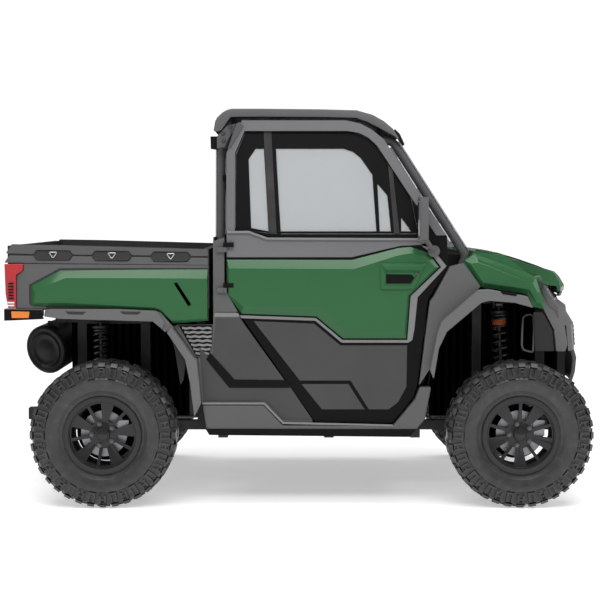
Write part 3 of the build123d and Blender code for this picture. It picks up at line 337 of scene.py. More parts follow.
for vert in rounded("bed_side_panels", 0.003, green).data.vertices:
    vert.co.y *= 0.975
rounded("cargo_bed", 0.004, dark_grey)
rounded("tailgate", 0.005, dark_grey)
rounded("dashboard", 0.012, tub_black)
rounded("steering_column", 0.001, frame_black)
rounded("steering_wheel", 0, tub_black)
for side_name in ("left", "right"):
    rounded(f"mirror_{side_name}", 0.01, panel_grey)

# ---------------------------------------------------------------- window glass
# Safety glass, see-through with a clean reflection: lightly tinted in the windshield and rear window, and
# with a pale privacy film in the doors.
for tint_name, share, panes in (("privacy_glass", 0.58, ("door_glass_left", "door_glass_right")),
                                ("screen_glass", 0.10, ("cab_glass",))):
    glass_paint = Paint(tint_name, Roughness=0.02)
    clear = glass_paint.node("ShaderNodeBsdfTransparent", None, {"Color": (0.74, 0.76, 0.775, 1)})
    gloss = glass_paint.node("ShaderNodeBsdfGlossy", None, {"Roughness": 0.02, "Color": (1, 1, 1, 1)})
    edge_on = glass_paint.node("ShaderNodeFresnel", None, {"IOR": 1.45})
    film = glass_paint.node("ShaderNodeBsdfDiffuse", None, {"Color": (0.50, 0.52, 0.53, 1)})
    filmed = glass_paint.node("ShaderNodeMixShader", None, {0: share, 1: clear, 2: film})
    mixed = glass_paint.node("ShaderNodeMixShader", None, {0: edge_on * 0.6, 1: filmed, 2: gloss})
    glass_paint.tree.links.new(mixed.socket, glass_paint.tree.nodes["Material Output"].inputs["Surface"])
    for pane in panes:
        frame["nodes"][pane].data.materials.clear()
        frame["nodes"][pane].data.materials.append(glass_paint.material)

# ---------------------------------------------------------------- tyres
# All-terrain radial tyres of black rubber: a smooth sidewall, a ring of slotted side lugs that wrap over
# the shoulder, and rows of chunky blocks on the crown. Moulded in one piece and seated on the rims.
def tyre_rubber():
    """Rubber whose tone changes slowly, with dust where a noise is high, and roughness and bump from noise.
    """
    paint = Paint("tyre_rubber", Specular_IOR_Level=0.4, Coat_Weight=0.3, Coat_Roughness=0.24)
    slow, fine = paint.noise(9.0, 4.0), paint.noise(700.0)
    tone = paint.between(slow, (0.008, 0.008, 0.0085, 1), (0.018, 0.018, 0.0185, 1))
    tone = paint.between(paint.noise(26.0, 5.0) ** 4.0 * 1.2, tone, (0.085, 0.08, 0.072, 1))
    return paint.link(Base_Color=tone, Roughness=slow * 0.22 + fine * 0.1 + 0.33,
                      Normal=paint.bump(fine + slow * 2.0, 0.00012))


rubber = tyre_rubber()
tyre_radius = 0.372
casing_radius = 0.352  # under the tread blocks
wheel_places = {
    "front_right": (1.118, -0.700, 0.240, "wheel_front_right"),
    "front_left": (1.118, 0.700, 0.240, "wheel_front_left"),
    "rear_right": (-1.0, -0.680, 0.280, "wheel_rear_right"),
    "rear_left": (-1.0, 0.680, 0.280, "wheel_rear_left"),
}


def sidewall_y(radius, half):
    """Half width of the casing at a radius."""
    stops = ((0.178, half - 0.029), (0.202, half - 0.026), (0.235, half - 0.012), (0.275, half - 0.0065),
             (0.287, half - 0.0075), (0.293, half - 0.0125), (0.345, half - 0.019), (0.357, half - 0.036))
    for (low, before), (high, after) in zip(stops, stops[1:]):
        if radius <= high:
            return before + (after - before) * max(0.0, (radius - low) / (high - low))
    return stops[-1][1]


def block_on_wheel(mesh, angle, corners_low, corners_high):
    """Closed block from two rings of four (across, radius, y) points at one place round the wheel."""
    rings = []
    for ring in (corners_low, corners_high):
        verts = []
        for across, radius, y in ring:
            turn = angle + across / radius
            verts.append(mesh.verts.new((radius * math.cos(turn), y, radius * math.sin(turn))))
        rings.append(verts)
    low, high = rings
    mesh.faces.new(high)
    for step in range(4):
        mesh.faces.new((low[step], low[(step + 1) % 4], high[(step + 1) % 4], high[step]))


def crown_block(mesh, angle, width, y_from, y_to, lean=0.0, drop_from=0.0, drop_to=0.0):
    """Tread block on the crown, narrower at its top, its two ends leaning apart by `lean`."""
    half, top = width / 2, width / 2 - 0.0022
    inset = 0.002 if y_to > y_from else -0.002
    low = [(-half, casing_radius, y_from), (half, casing_radius, y_from),
           (half + lean, casing_radius, y_to), (-half + lean, casing_radius, y_to)]
    near, far = tyre_radius - 0.0006 - drop_from, tyre_radius - 0.0006 - drop_to
    high = [(-top, near, y_from + inset), (top, near, y_from + inset),
            (top + lean, far, y_to - inset), (-top + lean, far, y_to - inset)]
    block_on_wheel(mesh, angle, low, high)


def side_bar(mesh, angle, offset, width, inner, outer, half, side):
    """Raised bar up the sidewall, from one radius to another."""
    start, stop = offset - width / 2, offset + width / 2
    ends = [(start, inner), (stop, inner), (stop, outer), (start, outer)]
    low = [(across, radius, side * (sidewall_y(radius, half) - 0.004)) for across, radius in ends]
    high = []
    for across, radius in ends:
        pull = 0.0012 if across > offset else -0.0012
        rise = 0.0012 if radius == inner else -0.0012
        height = 0.0085 if radius < 0.33 else 0.0105
        high.append((across - pull, radius + rise, side * (sidewall_y(radius, half) + height)))
    block_on_wheel(mesh, angle, low, high)


def spin(mesh, profile, segments):
    """Turns a line of (radius, y) points about the Y axis."""
    knots = [mesh.verts.new((radius, y, 0)) for radius, y in profile]
    edges = [mesh.edges.new(pair) for pair in zip(knots, knots[1:])]
    bmesh.ops.spin(mesh, geom=knots + edges, cent=(0, 0, 0), axis=(0, 1, 0), angle=2 * math.pi,
                   steps=segments, use_merge=True)


def tyre_mesh(width):
    """Casing with two fine rings on each sidewall, 36 pitches of side lugs and rows of crown blocks."""
    half = width / 2
    mesh = bmesh.new()
    radii = (0.1785, 0.19, 0.202, 0.218, 0.235, 0.255, 0.275, 0.287, 0.293, 0.32, 0.345, casing_radius, 0.357)
    right = [(rad, sidewall_y(rad, half)) for rad in radii]
    line = [(rad, -y) for rad, y in right] + [(0.359, -half / 2), (0.3595, 0), (0.359, half / 2)]
    line += [(rad, y) for rad, y in reversed(right)]
    spin(mesh, line, 96)
    for radius in (0.214, 0.222):
        for side in (-1, 1):
            ring = bmesh.ops.create_circle(mesh, segments=72, radius=radius)["verts"]
            bmesh.ops.rotate(mesh, verts=ring, cent=(0, 0, 0), matrix=Matrix.Rotation(math.pi / 2, 3, "X"))
            y = sidewall_y(radius, half) * side
            ring_edges = list({edge for v in ring for edge in v.link_edges})
            outer = bmesh.ops.extrude_edge_only(mesh, edges=ring_edges)
            grown = [v for v in outer["geom"] if isinstance(v, bmesh.types.BMVert)]
            for v in ring:
                v.co.y = y - side * 0.001
            for v in grown:
                v.co *= (radius + 0.0035) / radius
                v.co.y = sidewall_y(radius + 0.0035, half) * side + side * 0.0011
    pitches = 36
    for pitch in range(pitches):  # side lugs and shoulder blocks, every other pitch longer
        angle = pitch / pitches * 2 * math.pi
        slotted_out = pitch % 2 == 0
        for side in (-1, 1):
            turn = angle + (0.5 / pitches * 2 * math.pi if side > 0 else 0)
            inner, outer = (0.292, 0.346) if slotted_out else (0.302, 0.346)
            for offset in (-0.0132, 0.0132):
                side_bar(mesh, turn, offset, 0.0135, inner, outer, half, side)
            cross = (inner, inner + 0.013) if slotted_out else (0.320, 0.331)
            side_bar(mesh, turn, 0, 0.018, cross[0], cross[1], half, side)
            if not slotted_out:
                side_bar(mesh, turn, 0, 0.018, 0.340, 0.346, half, side)
            reach = 0.058 if slotted_out else 0.047
            crown_block(mesh, turn, 0.037, side * (half - 0.0095), side * (half - 0.034), 0.0, 0.017, 0.002)
            crown_block(mesh, turn, 0.035, side * (half - 0.034), side * (half - reach), 0.004 * side, 0.002,
                        0.0)
    rows, crown_pitches = 2 if width < 0.26 else 3, 24
    inside = half - 0.064
    for row in range(rows):
        centre = -inside + (2 * row + 1) * inside / rows
        reach = inside / rows - 0.0035
        for pitch in range(crown_pitches):
            angle = (pitch + (0.5 if row % 2 else 0.0)) / crown_pitches * 2 * math.pi
            slant = 0.016 if (pitch + row) % 2 else -0.016
            crown_block(mesh, angle, 0.066, centre - reach, centre + reach, slant, 0.0, 0.0)
            crown_block(mesh, angle + 0.047 + slant, 0.012, centre - reach * 0.5, centre + reach * 0.5, 0,
                        0.004, 0.004)
    return mesh


for wheel, (x, y, width, body) in wheel_places.items():
    mesh = tyre_mesh(width)
    bmesh.ops.translate(mesh, verts=mesh.verts, vec=(x, y, tyre_radius))
    tyre = as_piece(f"tyre_{wheel}_moulded", mesh, rubber, body, sharp=30, merge=1e-6)
    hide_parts(f"tyre_{wheel}")

# ---------------------------------------------------------------- wheels
# Cast aluminium wheels in dark satin paint. The outer flange is turned in two steps, a domed cap with a
# ring covers the hub, and five nuts sit in pockets round it.
rim_paint = finish("rim_satin_paint", (0.018, 0.018, 0.0185), 0.33, grain=900, depth=0.00003,
                   Coat_Weight=0.25)
nut_steel = finish("nut_steel", (0.10, 0.10, 0.10), 0.35, grain=600, Metallic=0.9)
nut_circle, nuts_per_wheel = 0.0565, 5


def lathe(profile, segments=64):
    """Closed shape turned about the Y axis from (radius, y) points."""
    mesh = bmesh.new()
    spin(mesh, profile, segments)
    return mesh


def bolt_head(mesh, centre, normal, radius, height, sides=6):
    """Bolt head with a small washer face, standing on a surface."""
    turn = Vector((0, 0, 1)).rotation_difference(Vector(normal)).to_matrix().to_4x4()
    for edges, foot, top, depth in ((sides, radius, radius * 0.86, height),
                                    (16, radius * 1.35, radius * 1.3, height * 0.25)):
        cone = bmesh.ops.create_cone(mesh, cap_ends=True, segments=edges, radius1=foot, radius2=top,
                                     depth=depth)
        shift = Matrix.Translation(Vector(centre) + Vector(normal) * depth / 2)
        bmesh.ops.transform(mesh, matrix=shift @ turn, verts=cone["verts"])


for wheel, (x, y, width, body) in wheel_places.items():
    side = -1 if y < 0 else 1
    lip = width / 2 - 0.028  # outer flange, off the wheel's centre
    face = lip - 0.012  # hub face
    mesh = lathe([(0.1735, lip - 0.004), (0.1745, lip + 0.0045), (0.186, lip + 0.0075),
                  (0.1925, lip + 0.0085), (0.1935, lip + 0.0118), (0.1965, lip + 0.0118),
                  (0.1978, lip + 0.0095), (0.1978, lip + 0.001), (0.1945, lip - 0.001), (0.1805, lip - 0.001),
                  (0.1735, lip - 0.004)])
    bead = [(0.1725, lip + 0.004), (0.1705, lip + 0.0065), (0.167, lip + 0.0055), (0.165, lip - 0.004),
            (0.165, lip - 0.012), (0.1725, lip - 0.012), (0.1725, lip + 0.004)]
    hub_cap = [(0.0, face + 0.0085), (0.018, face + 0.008), (0.0235, face + 0.0045), (0.0265, face + 0.0045),
               (0.029, face + 0.0085), (0.0325, face + 0.008), (0.034, face + 0.004), (0.036, face - 0.008),
               (0.0, face - 0.008)]
    spin(mesh, bead, 48)
    spin(mesh, hub_cap, 48)
    for vert in mesh.verts:
        vert.co.y *= side
    bmesh.ops.translate(mesh, verts=mesh.verts, vec=(x, y, tyre_radius))
    as_piece(f"rim_trim_{wheel}", mesh, rim_paint, body)
    nuts = bmesh.new()
    for number in range(nuts_per_wheel):
        turn = math.radians(36 + 72 * number)
        spot = (x + nut_circle * math.cos(turn), y + side * (face - 0.0135),
                tyre_radius + nut_circle * math.sin(turn))
        bolt_head(nuts, spot, (0, side, 0), 0.0095, 0.013)
    as_piece(f"wheel_nuts_{wheel}", nuts, nut_steel, body)
    rounded(f"rim_{wheel}", 0.0016, rim_paint)

# Pressed steel backing plates close the barrel of each wheel behind its brake disc, near black so that they
# also paint the deep shade between the spokes.
plate_y = 0.634  # off the vehicle's centre plane
plate_black_and_shade = finish("backing_plate", (0.006, 0.006, 0.0062), 0.6, grain=500, Specular_IOR_Level=0.08)
for wheel, (x, y, _, _) in wheel_places.items():
    edge_radius = 0.142 if wheel.startswith("front") else 0.152
    plate = lathe([(0.045, 0.0), (0.07, 0.002), (edge_radius - 0.02, 0.002), (edge_radius - 0.004, 0.006),
                   (edge_radius, 0.006), (edge_radius, 0.003), (edge_radius - 0.018, -0.001), (0.07, -0.001),
                   (0.045, -0.003)], 40)
    side = 1 if y > 0 else -1
    for vert in plate.verts:
        vert.co = Vector((x + vert.co.x, side * (plate_y + vert.co.y), tyre_radius + vert.co.z))
    as_piece(f"backing_plate_{wheel}", plate, plate_black_and_shade,
             f"knuckle_{wheel}" if wheel.startswith("front") else "chassis")

# ---------------------------------------------------------------- doors
# Steel-framed full doors. A pressed black core carries, from the top, the light grey window frame, a grey
# belt trim under a pale strip that is a painted highlight on its top edge, a bevelled metallic green panel
# with the handle in it, a light grey trim line round the panel's front and foot whose paleness is largely a
# painted highlight on the lower skin's chamfer, and two dark grey lower skins stepped along a crease. Each
# skin is clipped to the core.
belt, lean = 1.392, 0.075 / 0.56  # height of the belt line, and the cab's lean per metre above it


def skin(name, outline, out, material, bodies, rim=0.004, rise=0.003, thick=0.006, inner=None, soft=0.0012,
         cuts=()):
    """Moulded skin on both sides of the vehicle: its face is `out` from the centre plane and slopes back by
    `rise` over its `rim` (or from its `inner` outline), with walls `thick` deep. Leans in above the belt."""
    for (label, side), body in zip(sides, bodies):
        mesh = bmesh.new()

        def loop(points, y):
            verts = [mesh.verts.new((x / 1000, y, z / 1000)) for x, z in points]
            return verts, [mesh.edges.new((a, b)) for a, b in zip(verts, verts[1:] + verts[:1])]

        if inner:
            low_edges = loop(outline, side * (out - rise))[1]
            high, high_edges = loop(inner, side * out)
            mesh.faces.new(high)
            bmesh.ops.bridge_loops(mesh, edges=low_edges + high_edges)
        elif cuts:
            edges = loop(outline, side * out)[1]
            for hole in cuts:
                edges += loop(hole, side * out)[1]
            bmesh.ops.triangle_fill(mesh, use_beauty=True, edges=edges, normal=(0, side, 0))
        else:
            face = mesh.faces.new(loop(outline, side * (out - rise))[0])
            face.normal_update()
            if face.normal.y * side < 0:
                face.normal_flip()
            bmesh.ops.inset_region(mesh, faces=[face], thickness=rim, depth=rise, use_even_offset=True)
        if cuts:
            bmesh.ops.recalc_face_normals(mesh, faces=mesh.faces)
            bmesh.ops.solidify(mesh, geom=mesh.faces[:], thickness=thick)
        else:
            border = [edge for edge in mesh.edges if len(edge.link_faces) == 1]
            walls = bmesh.ops.extrude_edge_only(mesh, edges=border)
            for vert in walls["geom"]:
                if isinstance(vert, bmesh.types.BMVert):
                    vert.co.y -= side * thick
            bmesh.ops.holes_fill(mesh, edges=[e for e in mesh.edges if len(e.link_faces) == 1], sides=0)
        for vert in mesh.verts:
            vert.co.y -= side * max(0.0, vert.co.z - belt) * lean
        piece = as_piece(f"{name}_{label}", mesh, material, body, sharp=20)
        if soft:
            soften(piece, soft, angle=14)


doors = ("door_right", "door_left")
frame_grey = finish("door_frame_silver", (0.118, 0.119, 0.122), 0.36, grain=1500, depth=0.00002)
# pale grey for thin strips along edges: partly a light trim colour, mostly a painted highlight where those
# edges face the light
trim_and_highlight = finish("trim_and_highlight_grey", (0.17, 0.17, 0.172), 0.4, grain=420, depth=0.00006)
belt_grey = finish("belt_grey", (0.130, 0.129, 0.134), 0.4, grain=420, depth=0.00006)
lower_grey = finish("lower_grey", (0.052, 0.052, 0.053), 0.45, grain=420, depth=0.00008, dust=0.05)
black_trim = finish("black_trim", (0.006, 0.006, 0.006), 0.45, grain=600, depth=0.00004,
                    Specular_IOR_Level=0.06)
skin("door_window_frame",
     [(-374, 1402), (-374, 1800), (-296, 1966), (236, 1966), (306, 1950), (368, 1918), (428, 1868),
      (742, 1382), (690, 1382), (392, 1838), (346, 1880), (296, 1904), (240, 1912), (-282, 1912),
      (-330, 1800), (-330, 1402)],
     0.7275, frame_grey, doors, rim=0.008, rise=0.005, thick=0.012)
skin("door_belt",
     [(-372, 1400), (-262, 1401), (-166, 1367), (598, 1364), (640, 1347), (612, 1334), (505, 1328),
      (262, 1271), (-372, 1271)],
     0.729, belt_grey, doors, rim=0.012, rise=0.010, thick=0.004)
# pale strip along the belt trim's top edge: a painted highlight
skin("belt_top_highlight",
     [(-370, 1404), (-260, 1405), (-164, 1371), (598, 1368), (660, 1342), (652, 1334), (596, 1357),
      (-168, 1360), (-262, 1394), (-370, 1393)],
     0.7325, trim_and_highlight, doors, rim=0.003)
skin("door_green",
     [(-372, 1259), (264, 1258), (497, 1318), (560, 1324), (650, 1294), (706, 1221), (556, 1074), (541, 858),
      (220, 858), (84, 970), (-296, 984), (-370, 1082)],
     0.735, green, doors, rise=0.017, thick=0.002, soft=0.002,
     inner=[(-360, 1214), (274, 1211), (497, 1280), (560, 1291), (636, 1270), (688, 1219), (545, 1078),
            (531, 890), (234, 890), (96, 1018), (-288, 1022), (-360, 1082)])
# Light grey strip down the green panel's front and along its foot: partly a trim, its paleness largely a
# painted highlight on the chamfer.
skin("door_trim_highlight",
     [(612, 1332), (668, 1318), (744, 1226), (598, 1068), (582, 905), (572, 850), (552, 836), (212, 836),
      (78, 948), (-300, 961), (-305, 976), (81, 962), (216, 850), (546, 850), (562, 1074), (716, 1221),
      (655, 1302)],
     0.7255, trim_and_highlight, doors, rim=0.005, rise=0.005, thick=0.004)
skin("door_lower_upper",
     [(-236, 946), (72, 933), (206, 822), (546, 822), (543, 610), (500, 530), (452, 494), (352, 494),
      (258, 642), (-1, 642)],
     0.7245, lower_grey, doors, rim=0.012, rise=0.007, thick=0.002)
skin("door_lower_foot", [(8, 624), (247, 624), (330, 494), (112, 494)], 0.7195, lower_grey, doors, rim=0.006,
     thick=0.001)
for side_name in ("left", "right"):
    rounded(f"door_{side_name}", 0.003, black_trim)

# Black ceramic border printed on the glass, and two upright glazing bars, the rear one with a rubber bead.
skin("door_glass_border",
     [(-326, 1790), (-276, 1914), (256, 1914), (368, 1868), (557, 1608), (598, 1392), (-126, 1392),
      (-326, 1411)],
     0.7035, black_trim, doors, thick=0.0015, soft=0,
     cuts=[[(-262, 1768), (-226, 1822), (-184, 1822), (-160, 1402), (-248, 1419)],
           [(-124, 1822), (222, 1822), (270, 1806), (308, 1776), (368, 1690), (388, 1402), (-98, 1402)],
           [(394, 1643), (444, 1584), (462, 1402), (405, 1402)],
           [(514, 1470), (548, 1426), (562, 1402), (514, 1402)]])
skin("door_rear_divider", [(-186, 1914), (-146, 1914), (-118, 1388), (-158, 1388)], 0.7125, frame_black,
     doors, rim=0.007, rise=0.004, thick=0.008)
skin("door_rear_bead", [(-144, 1914), (-128, 1914), (-98, 1388), (-116, 1388)], 0.708, black_trim, doors,
     rise=0.002, thick=0.004)
skin("door_front_divider", [(448, 1746), (472, 1716), (506, 1388), (478, 1388)], 0.7125, frame_black, doors,
     rim=0.006, rise=0.004, thick=0.008)

# Paddle handle: a bevelled green bezel round a black tray, the paddle, and the lock barrel.
tray = [(430, 1202), (606, 1200), (590, 1176), (562, 1128), (430, 1128)]
skin("handle_bezel", [(408, 1240), (642, 1240), (606, 1180), (576, 1110), (408, 1110)], 0.7430, green, doors,
     thick=0.009, soft=0.0015,
     cuts=[tray])
skin("handle_bezel_top", [(412, 1238), (638, 1238), (612, 1204), (428, 1206)], 0.7480, green, doors,
     rise=0.005, thick=0.003,
     inner=[(420, 1222), (622, 1222), (610, 1208), (430, 1210)])
skin("handle_tray", tray, 0.7355, black_trim, doors, rim=0.003, rise=0.001, thick=0.002)
skin("handle_paddle", [(436, 1186), (566, 1184), (580, 1168), (560, 1138), (436, 1138)], 0.7425, black_trim,
     doors, rim=0.009, rise=0.006, thick=0.003)
for (side_name, side), body in zip(sides, doors):
    lock = lathe([(0, 0.0035), (0.0045, 0.003), (0.0065, 0.003), (0.0085, 0.0015), (0.0085, -0.002),
                  (0, -0.002)], 24)
    for vert in lock.verts:
        vert.co.y *= side
    bmesh.ops.translate(lock, verts=lock.verts, vec=(0.592, side * 0.739, 1.188))
    as_piece(f"door_lock_{side_name}", lock, nut_steel, body)

# ---------------------------------------------------------------- lower side panels
# Grey mouldings behind the door: a quarter panel stepped along a crease, with a pale strip painted as the
# highlight on its ridge and a black strip painted as the shade in the crease's step, and a louvred vent above
# it, backed by a black sheet of painted shade.
both_fixed = ("chassis", "chassis")
skin("quarter_top", [(-436, 1112), (-378, 1103), (-316, 994), (-436, 994)], 0.7275, panel_grey, both_fixed,
     rim=0.008, rise=0.004, thick=0.003)
# Pale strip along the ridge: a painted highlight.
skin("quarter_ridge_highlight", [(-436, 988), (-314, 988), (-306, 968), (-436, 968)], 0.731, trim_and_highlight, both_fixed,
     rim=0.007, rise=0.006, thick=0.003)
skin("quarter_upper", [(-430, 960), (-306, 960), (-74, 638), (-328, 640), (-444, 778)], 0.7285, lower_grey,
     both_fixed, rim=0.010, rise=0.006, thick=0.002)
skin("quarter_lower",
     [(-512, 812), (-466, 764), (-350, 623), (-58, 622), (66, 438), (-90, 440), (-178, 536), (-494, 536)],
     0.7265, lower_grey, both_fixed, rim=0.010, rise=0.005, thick=0.002)
# Black strip in the step between the two lower skins: painted shade in the crease.
skin("quarter_crease_shade", [(-456, 786), (-334, 648), (-70, 645), (-50, 606), (-360, 606), (-478, 752)], 0.7255,
     black_trim, both_fixed, rim=0.002, rise=0.001, thick=0.001, soft=0)
# Black sheet behind the louvres: painted shade in the vent's opening.
skin("vent_shade_recess", [(-618, 924), (-446, 926), (-450, 815), (-468, 768), (-530, 768)], 0.7165, black_trim,
     both_fixed, rise=0.001, thick=0.001, soft=0)
vent_grey = finish("vent_grey", (0.20, 0.20, 0.20), 0.45, grain=420, depth=0.00006)
vent_foot, slat_pitch, wave = 768, 21.5, 20
for slat in range(7):
    low = vent_foot + 8 + slat * slat_pitch
    left = -534 - (low - vent_foot) / 156 * 82 + 6
    right = -450 if low > 812 else -468 + (low - vent_foot) / 47 * 18
    waves = max(3, int((right - left) / wave))
    top, foot = [], []
    for step in range(waves + 1):
        x = left + (right - left) * step / waves
        dip = 4.5 if step % 2 else 0
        top.append((x, low + 13 - dip))
        foot.append((x, low + 2 - dip))
    skin(f"vent_slat_{slat}", top + foot[::-1], 0.7225, vent_grey, both_fixed, rim=0.003, thick=0.005, soft=0)

# ---------------------------------------------------------------- cargo bed
# Steel and moulded tipping bed: a two-step rail along each side with three tie-down pockets, a bevelled
# metallic green side panel in a grey surround, and a grey trim over the wheel with two slots in it, drawn as
# dark patches of painted shade.
on_bed = ("bed", "bed")
rail_grey = finish("rail_grey", (0.075, 0.075, 0.076), 0.42, grain=420, depth=0.00008, dust=0.05)
rail_light = finish("rail_light", (0.085, 0.085, 0.086), 0.4, grain=420, depth=0.00007)
pockets = ((-1333, -1166), (-1037, -867), (-740, -569))


def notched(y_line, depth, reach):
    """Line of points along the rail with a sloped notch at each pocket."""
    points = []
    for low, high in pockets:
        points += [(low - reach, y_line(low)), (low, y_line(low) + depth), (high, y_line(high) + depth),
                   (high + reach, y_line(high))]
    return points


def rail_fall(x):
    """How far the rail's lines have dropped from the bed's tail, 12 over its length."""
    return (x + 1488) / 1022 * 12


def upper_foot(x):
    return 1289 - rail_fall(x)


def lower_head(x):
    return 1281 - rail_fall(x)


skin("bed_rail_upper",
     [(-1487, 1291)] + notched(upper_foot, 20, 16)
     + [(-466, 1277), (-466, 1311), (-1201, 1331), (-1458, 1335)],
     0.7415, rail_grey, on_bed, rim=0.009, rise=0.007, thick=0.012)
skin("bed_rail_lower",
     [(-1496, 1248), (-1470, 1281)] + notched(lower_head, -22, 16)
     + [(-466, 1268), (-466, 1232), (-1496, 1244)],
     0.7395, rail_light, on_bed, rim=0.009, rise=0.007, thick=0.010)
for number, (low, high) in enumerate(pockets):
    middle = (low + high) / 2
    top, foot = upper_foot(middle) + 17, lower_head(middle) - 19
    hexagon = [(low - 14, (top + foot) / 2), (low + 4, foot), (high - 4, foot), (high + 14, (top + foot) / 2),
               (high - 2, top), (low + 2, top)]
    skin(f"pocket_{number}", hexagon, 0.7345, dark_grey, on_bed, thick=0.004, rise=-0.006,
         inner=[(x * 0.86 + middle * 0.14, z * 0.72 + (top + foot) * 0.14) for x, z in hexagon])
    for side_name, side in sides:
        ring = [(middle - 21, top - 6), (middle + 21, top - 6), (middle, top - 36)]
        points = []
        for corner in range(3):
            (x0, z0), (x1, z1) = ring[corner], ring[(corner + 1) % 3]
            for share in (0.12, 0.3, 0.5, 0.7, 0.88):
                points.append(((x0 + (x1 - x0) * share) / 1000, side * 0.7385,
                               (z0 + (z1 - z0) * share) / 1000))
        tube_of(f"tie_ring_{number}_{side_name}", points, 0.0026, steel, "bed", cyclic=True)
skin("bed_surround",
     [(-1400, 1238), (-1400, 1206), (-1434, 1180), (-1438, 1012), (-1290, 1012), (-1290, 1020), (-1366, 1024),
      (-1374, 1036), (-1374, 1132), (-1218, 1216), (-465, 1218), (-465, 1231)],
     0.7335, panel_grey, on_bed, rim=0.006, rise=0.004, thick=0.004)
skin("bed_green",
     [(-1362, 1126), (-1216, 1205), (-700, 1210), (-467, 1210), (-467, 952), (-645, 937), (-712, 995),
      (-732, 1003), (-1198, 1025), (-1357, 1025), (-1362, 1036)],
     0.7480, green, on_bed, rise=0.018, thick=0.010, soft=0.0018,
     inner=[(-1340, 1100), (-1186, 1166), (-690, 1164), (-470, 1162), (-470, 962), (-650, 950), (-704, 1006),
            (-730, 1017), (-1190, 1042), (-1340, 1042), (-1346, 1050)])
skin("bed_green_facet", [(-640, 1140), (-622, 1146), (-548, 1032), (-566, 1022)], 0.7515, green, on_bed,
     rise=0.0035, thick=0.002)
skin("bed_green_ridge", [(-650, 1142), (-470, 1150), (-470, 1140), (-640, 1131)], 0.7512, green, on_bed,
     rise=0.0035, thick=0.002)
skin("bed_lower_trim",
     [(-1290, 1008), (-732, 1000), (-706, 990), (-640, 915), (-684, 893), (-744, 947), (-1216, 961),
      (-1296, 974)],
     0.757, flare_grey, on_bed, rim=0.010, rise=0.008, thick=0.020)
# Dark patches painted as the shade inside the two slots.
for number, (low, high) in enumerate(((-1190, -1080), (-912, -802))):
    skin(f"trim_slot_{number}", [(low, 999), (high, 997), (high - 18, 982), (low + 18, 984)], 0.7600,
         dark_grey, on_bed, rim=0.003, rise=0.001, thick=0.002)
skin("bed_box_side", [(-1440, 1012), (-467, 952), (-467, 1300), (-1440, 1310)], 0.7288, dark_grey, on_bed,
     rim=0.002, rise=0.0005, thick=0.001, soft=0)

# Ribs pressed into the bed floor and side walls, as a spray-lined steel box has.
liner_black = finish("bed_liner", (0.022, 0.022, 0.023), 0.7, grain=260, depth=0.0004, dust=0.5)


def box(mesh, place, size, tilt=0.0):
    """Adds a box round a place, tilted about Y."""
    verts = bmesh.ops.create_cube(mesh, size=1)["verts"]
    shift = Matrix.Translation(place) @ Matrix.Rotation(tilt, 4, "Y")
    bmesh.ops.transform(mesh, verts=verts, matrix=shift @ Matrix.Diagonal((*size, 1)))


def round_off(mesh, width, segments=2):
    """Rounds every edge of a mesh."""
    bmesh.ops.bevel(mesh, geom=mesh.edges[:], offset=width, affect="EDGES", segments=segments, profile=0.5,
                    material=-1)


ribs = bmesh.new()
for number in range(9):
    box(ribs, (-0.985, -0.56 + number * 0.14, 1.0315), (0.86, 0.05, 0.007))
for _, side in sides:
    for number in range(6):
        box(ribs, (-1.38 + number * 0.165, side * 0.6935, 1.16), (0.045, 0.008, 0.22))
round_off(ribs, 0.003)
as_piece("bed_ribs", ribs, liner_black, "bed", sharp=50)

# Tailgate latch handle in a recessed bezel, and two pressed panels.
gate = bmesh.new()
for middle, wide, high, depth in ((-0.37, 0.42, 0.15, 0.004), (0.37, 0.42, 0.15, 0.004),
                                  (0, 0.20, 0.07, 0.008)):
    box(gate, (-1.4895 - depth / 2, middle, 1.19), (depth, wide, high))
round_off(gate, 0.0018)
as_piece("tailgate_pressings", gate, rail_grey, "tailgate", sharp=50)

# ---------------------------------------------------------------- tail lamps and markers
# Red moulded lenses wrapped round the bed's rear corners, with black louvres and two pale reversing bars,
# over a black rear bar that holds an amber side marker.
lens_red = finish("lens_red", (0.34, 0.006, 0.012), 0.25, grain=60, depth=0.0001, cloud=0.25, Coat_Weight=0.8)
lens_amber = finish("lens_amber", (0.62, 0.16, 0.01), 0.18, grain=60, depth=0.0001, cloud=0.2,
                    Coat_Weight=0.8)
lens_pale = finish("lens_pale", (0.75, 0.62, 0.62), 0.15, grain=80, depth=0.0001, Coat_Weight=0.8)
rounded("tail_lamps", 0.003, lens_red)
skin("tail_lens",
     [(-1494, 1234), (-1405, 1234), (-1407, 1208), (-1440, 1184), (-1442, 1018), (-1479, 1018),
      (-1490, 1085)],
     0.7475, lens_red, on_bed, rim=0.008, rise=0.006, thick=0.002)
for number in range(6):
    z = 1142 - number * 15
    skin(f"tail_louvre_{number}", [(-1474, z), (-1448, z), (-1450, z - 7), (-1478, z - 7)], 0.7490,
         black_trim, on_bed, rim=0.001, rise=0.001, thick=0.002, soft=0)
for number in range(2):
    z = 1046 - number * 14
    skin(f"reverse_bar_{number}", [(-1484, z), (-1446, z), (-1446, z - 8), (-1483, z - 8)], 0.7490, lens_pale,
         on_bed, rim=0.0015, rise=0.001, thick=0.002, soft=0)
skin("amber_marker", [(-1462, 998), (-1370, 996), (-1374, 964), (-1460, 964)], 0.7545, lens_amber, on_bed,
     rim=0.006, rise=0.005, thick=0.010)
skin("rear_bar_cover", [(-1500, 1006), (-1310, 1004), (-1300, 958), (-1484, 950), (-1500, 950)], 0.7475,
     black_trim, on_bed, rim=0.005, rise=0.004, thick=0.010)

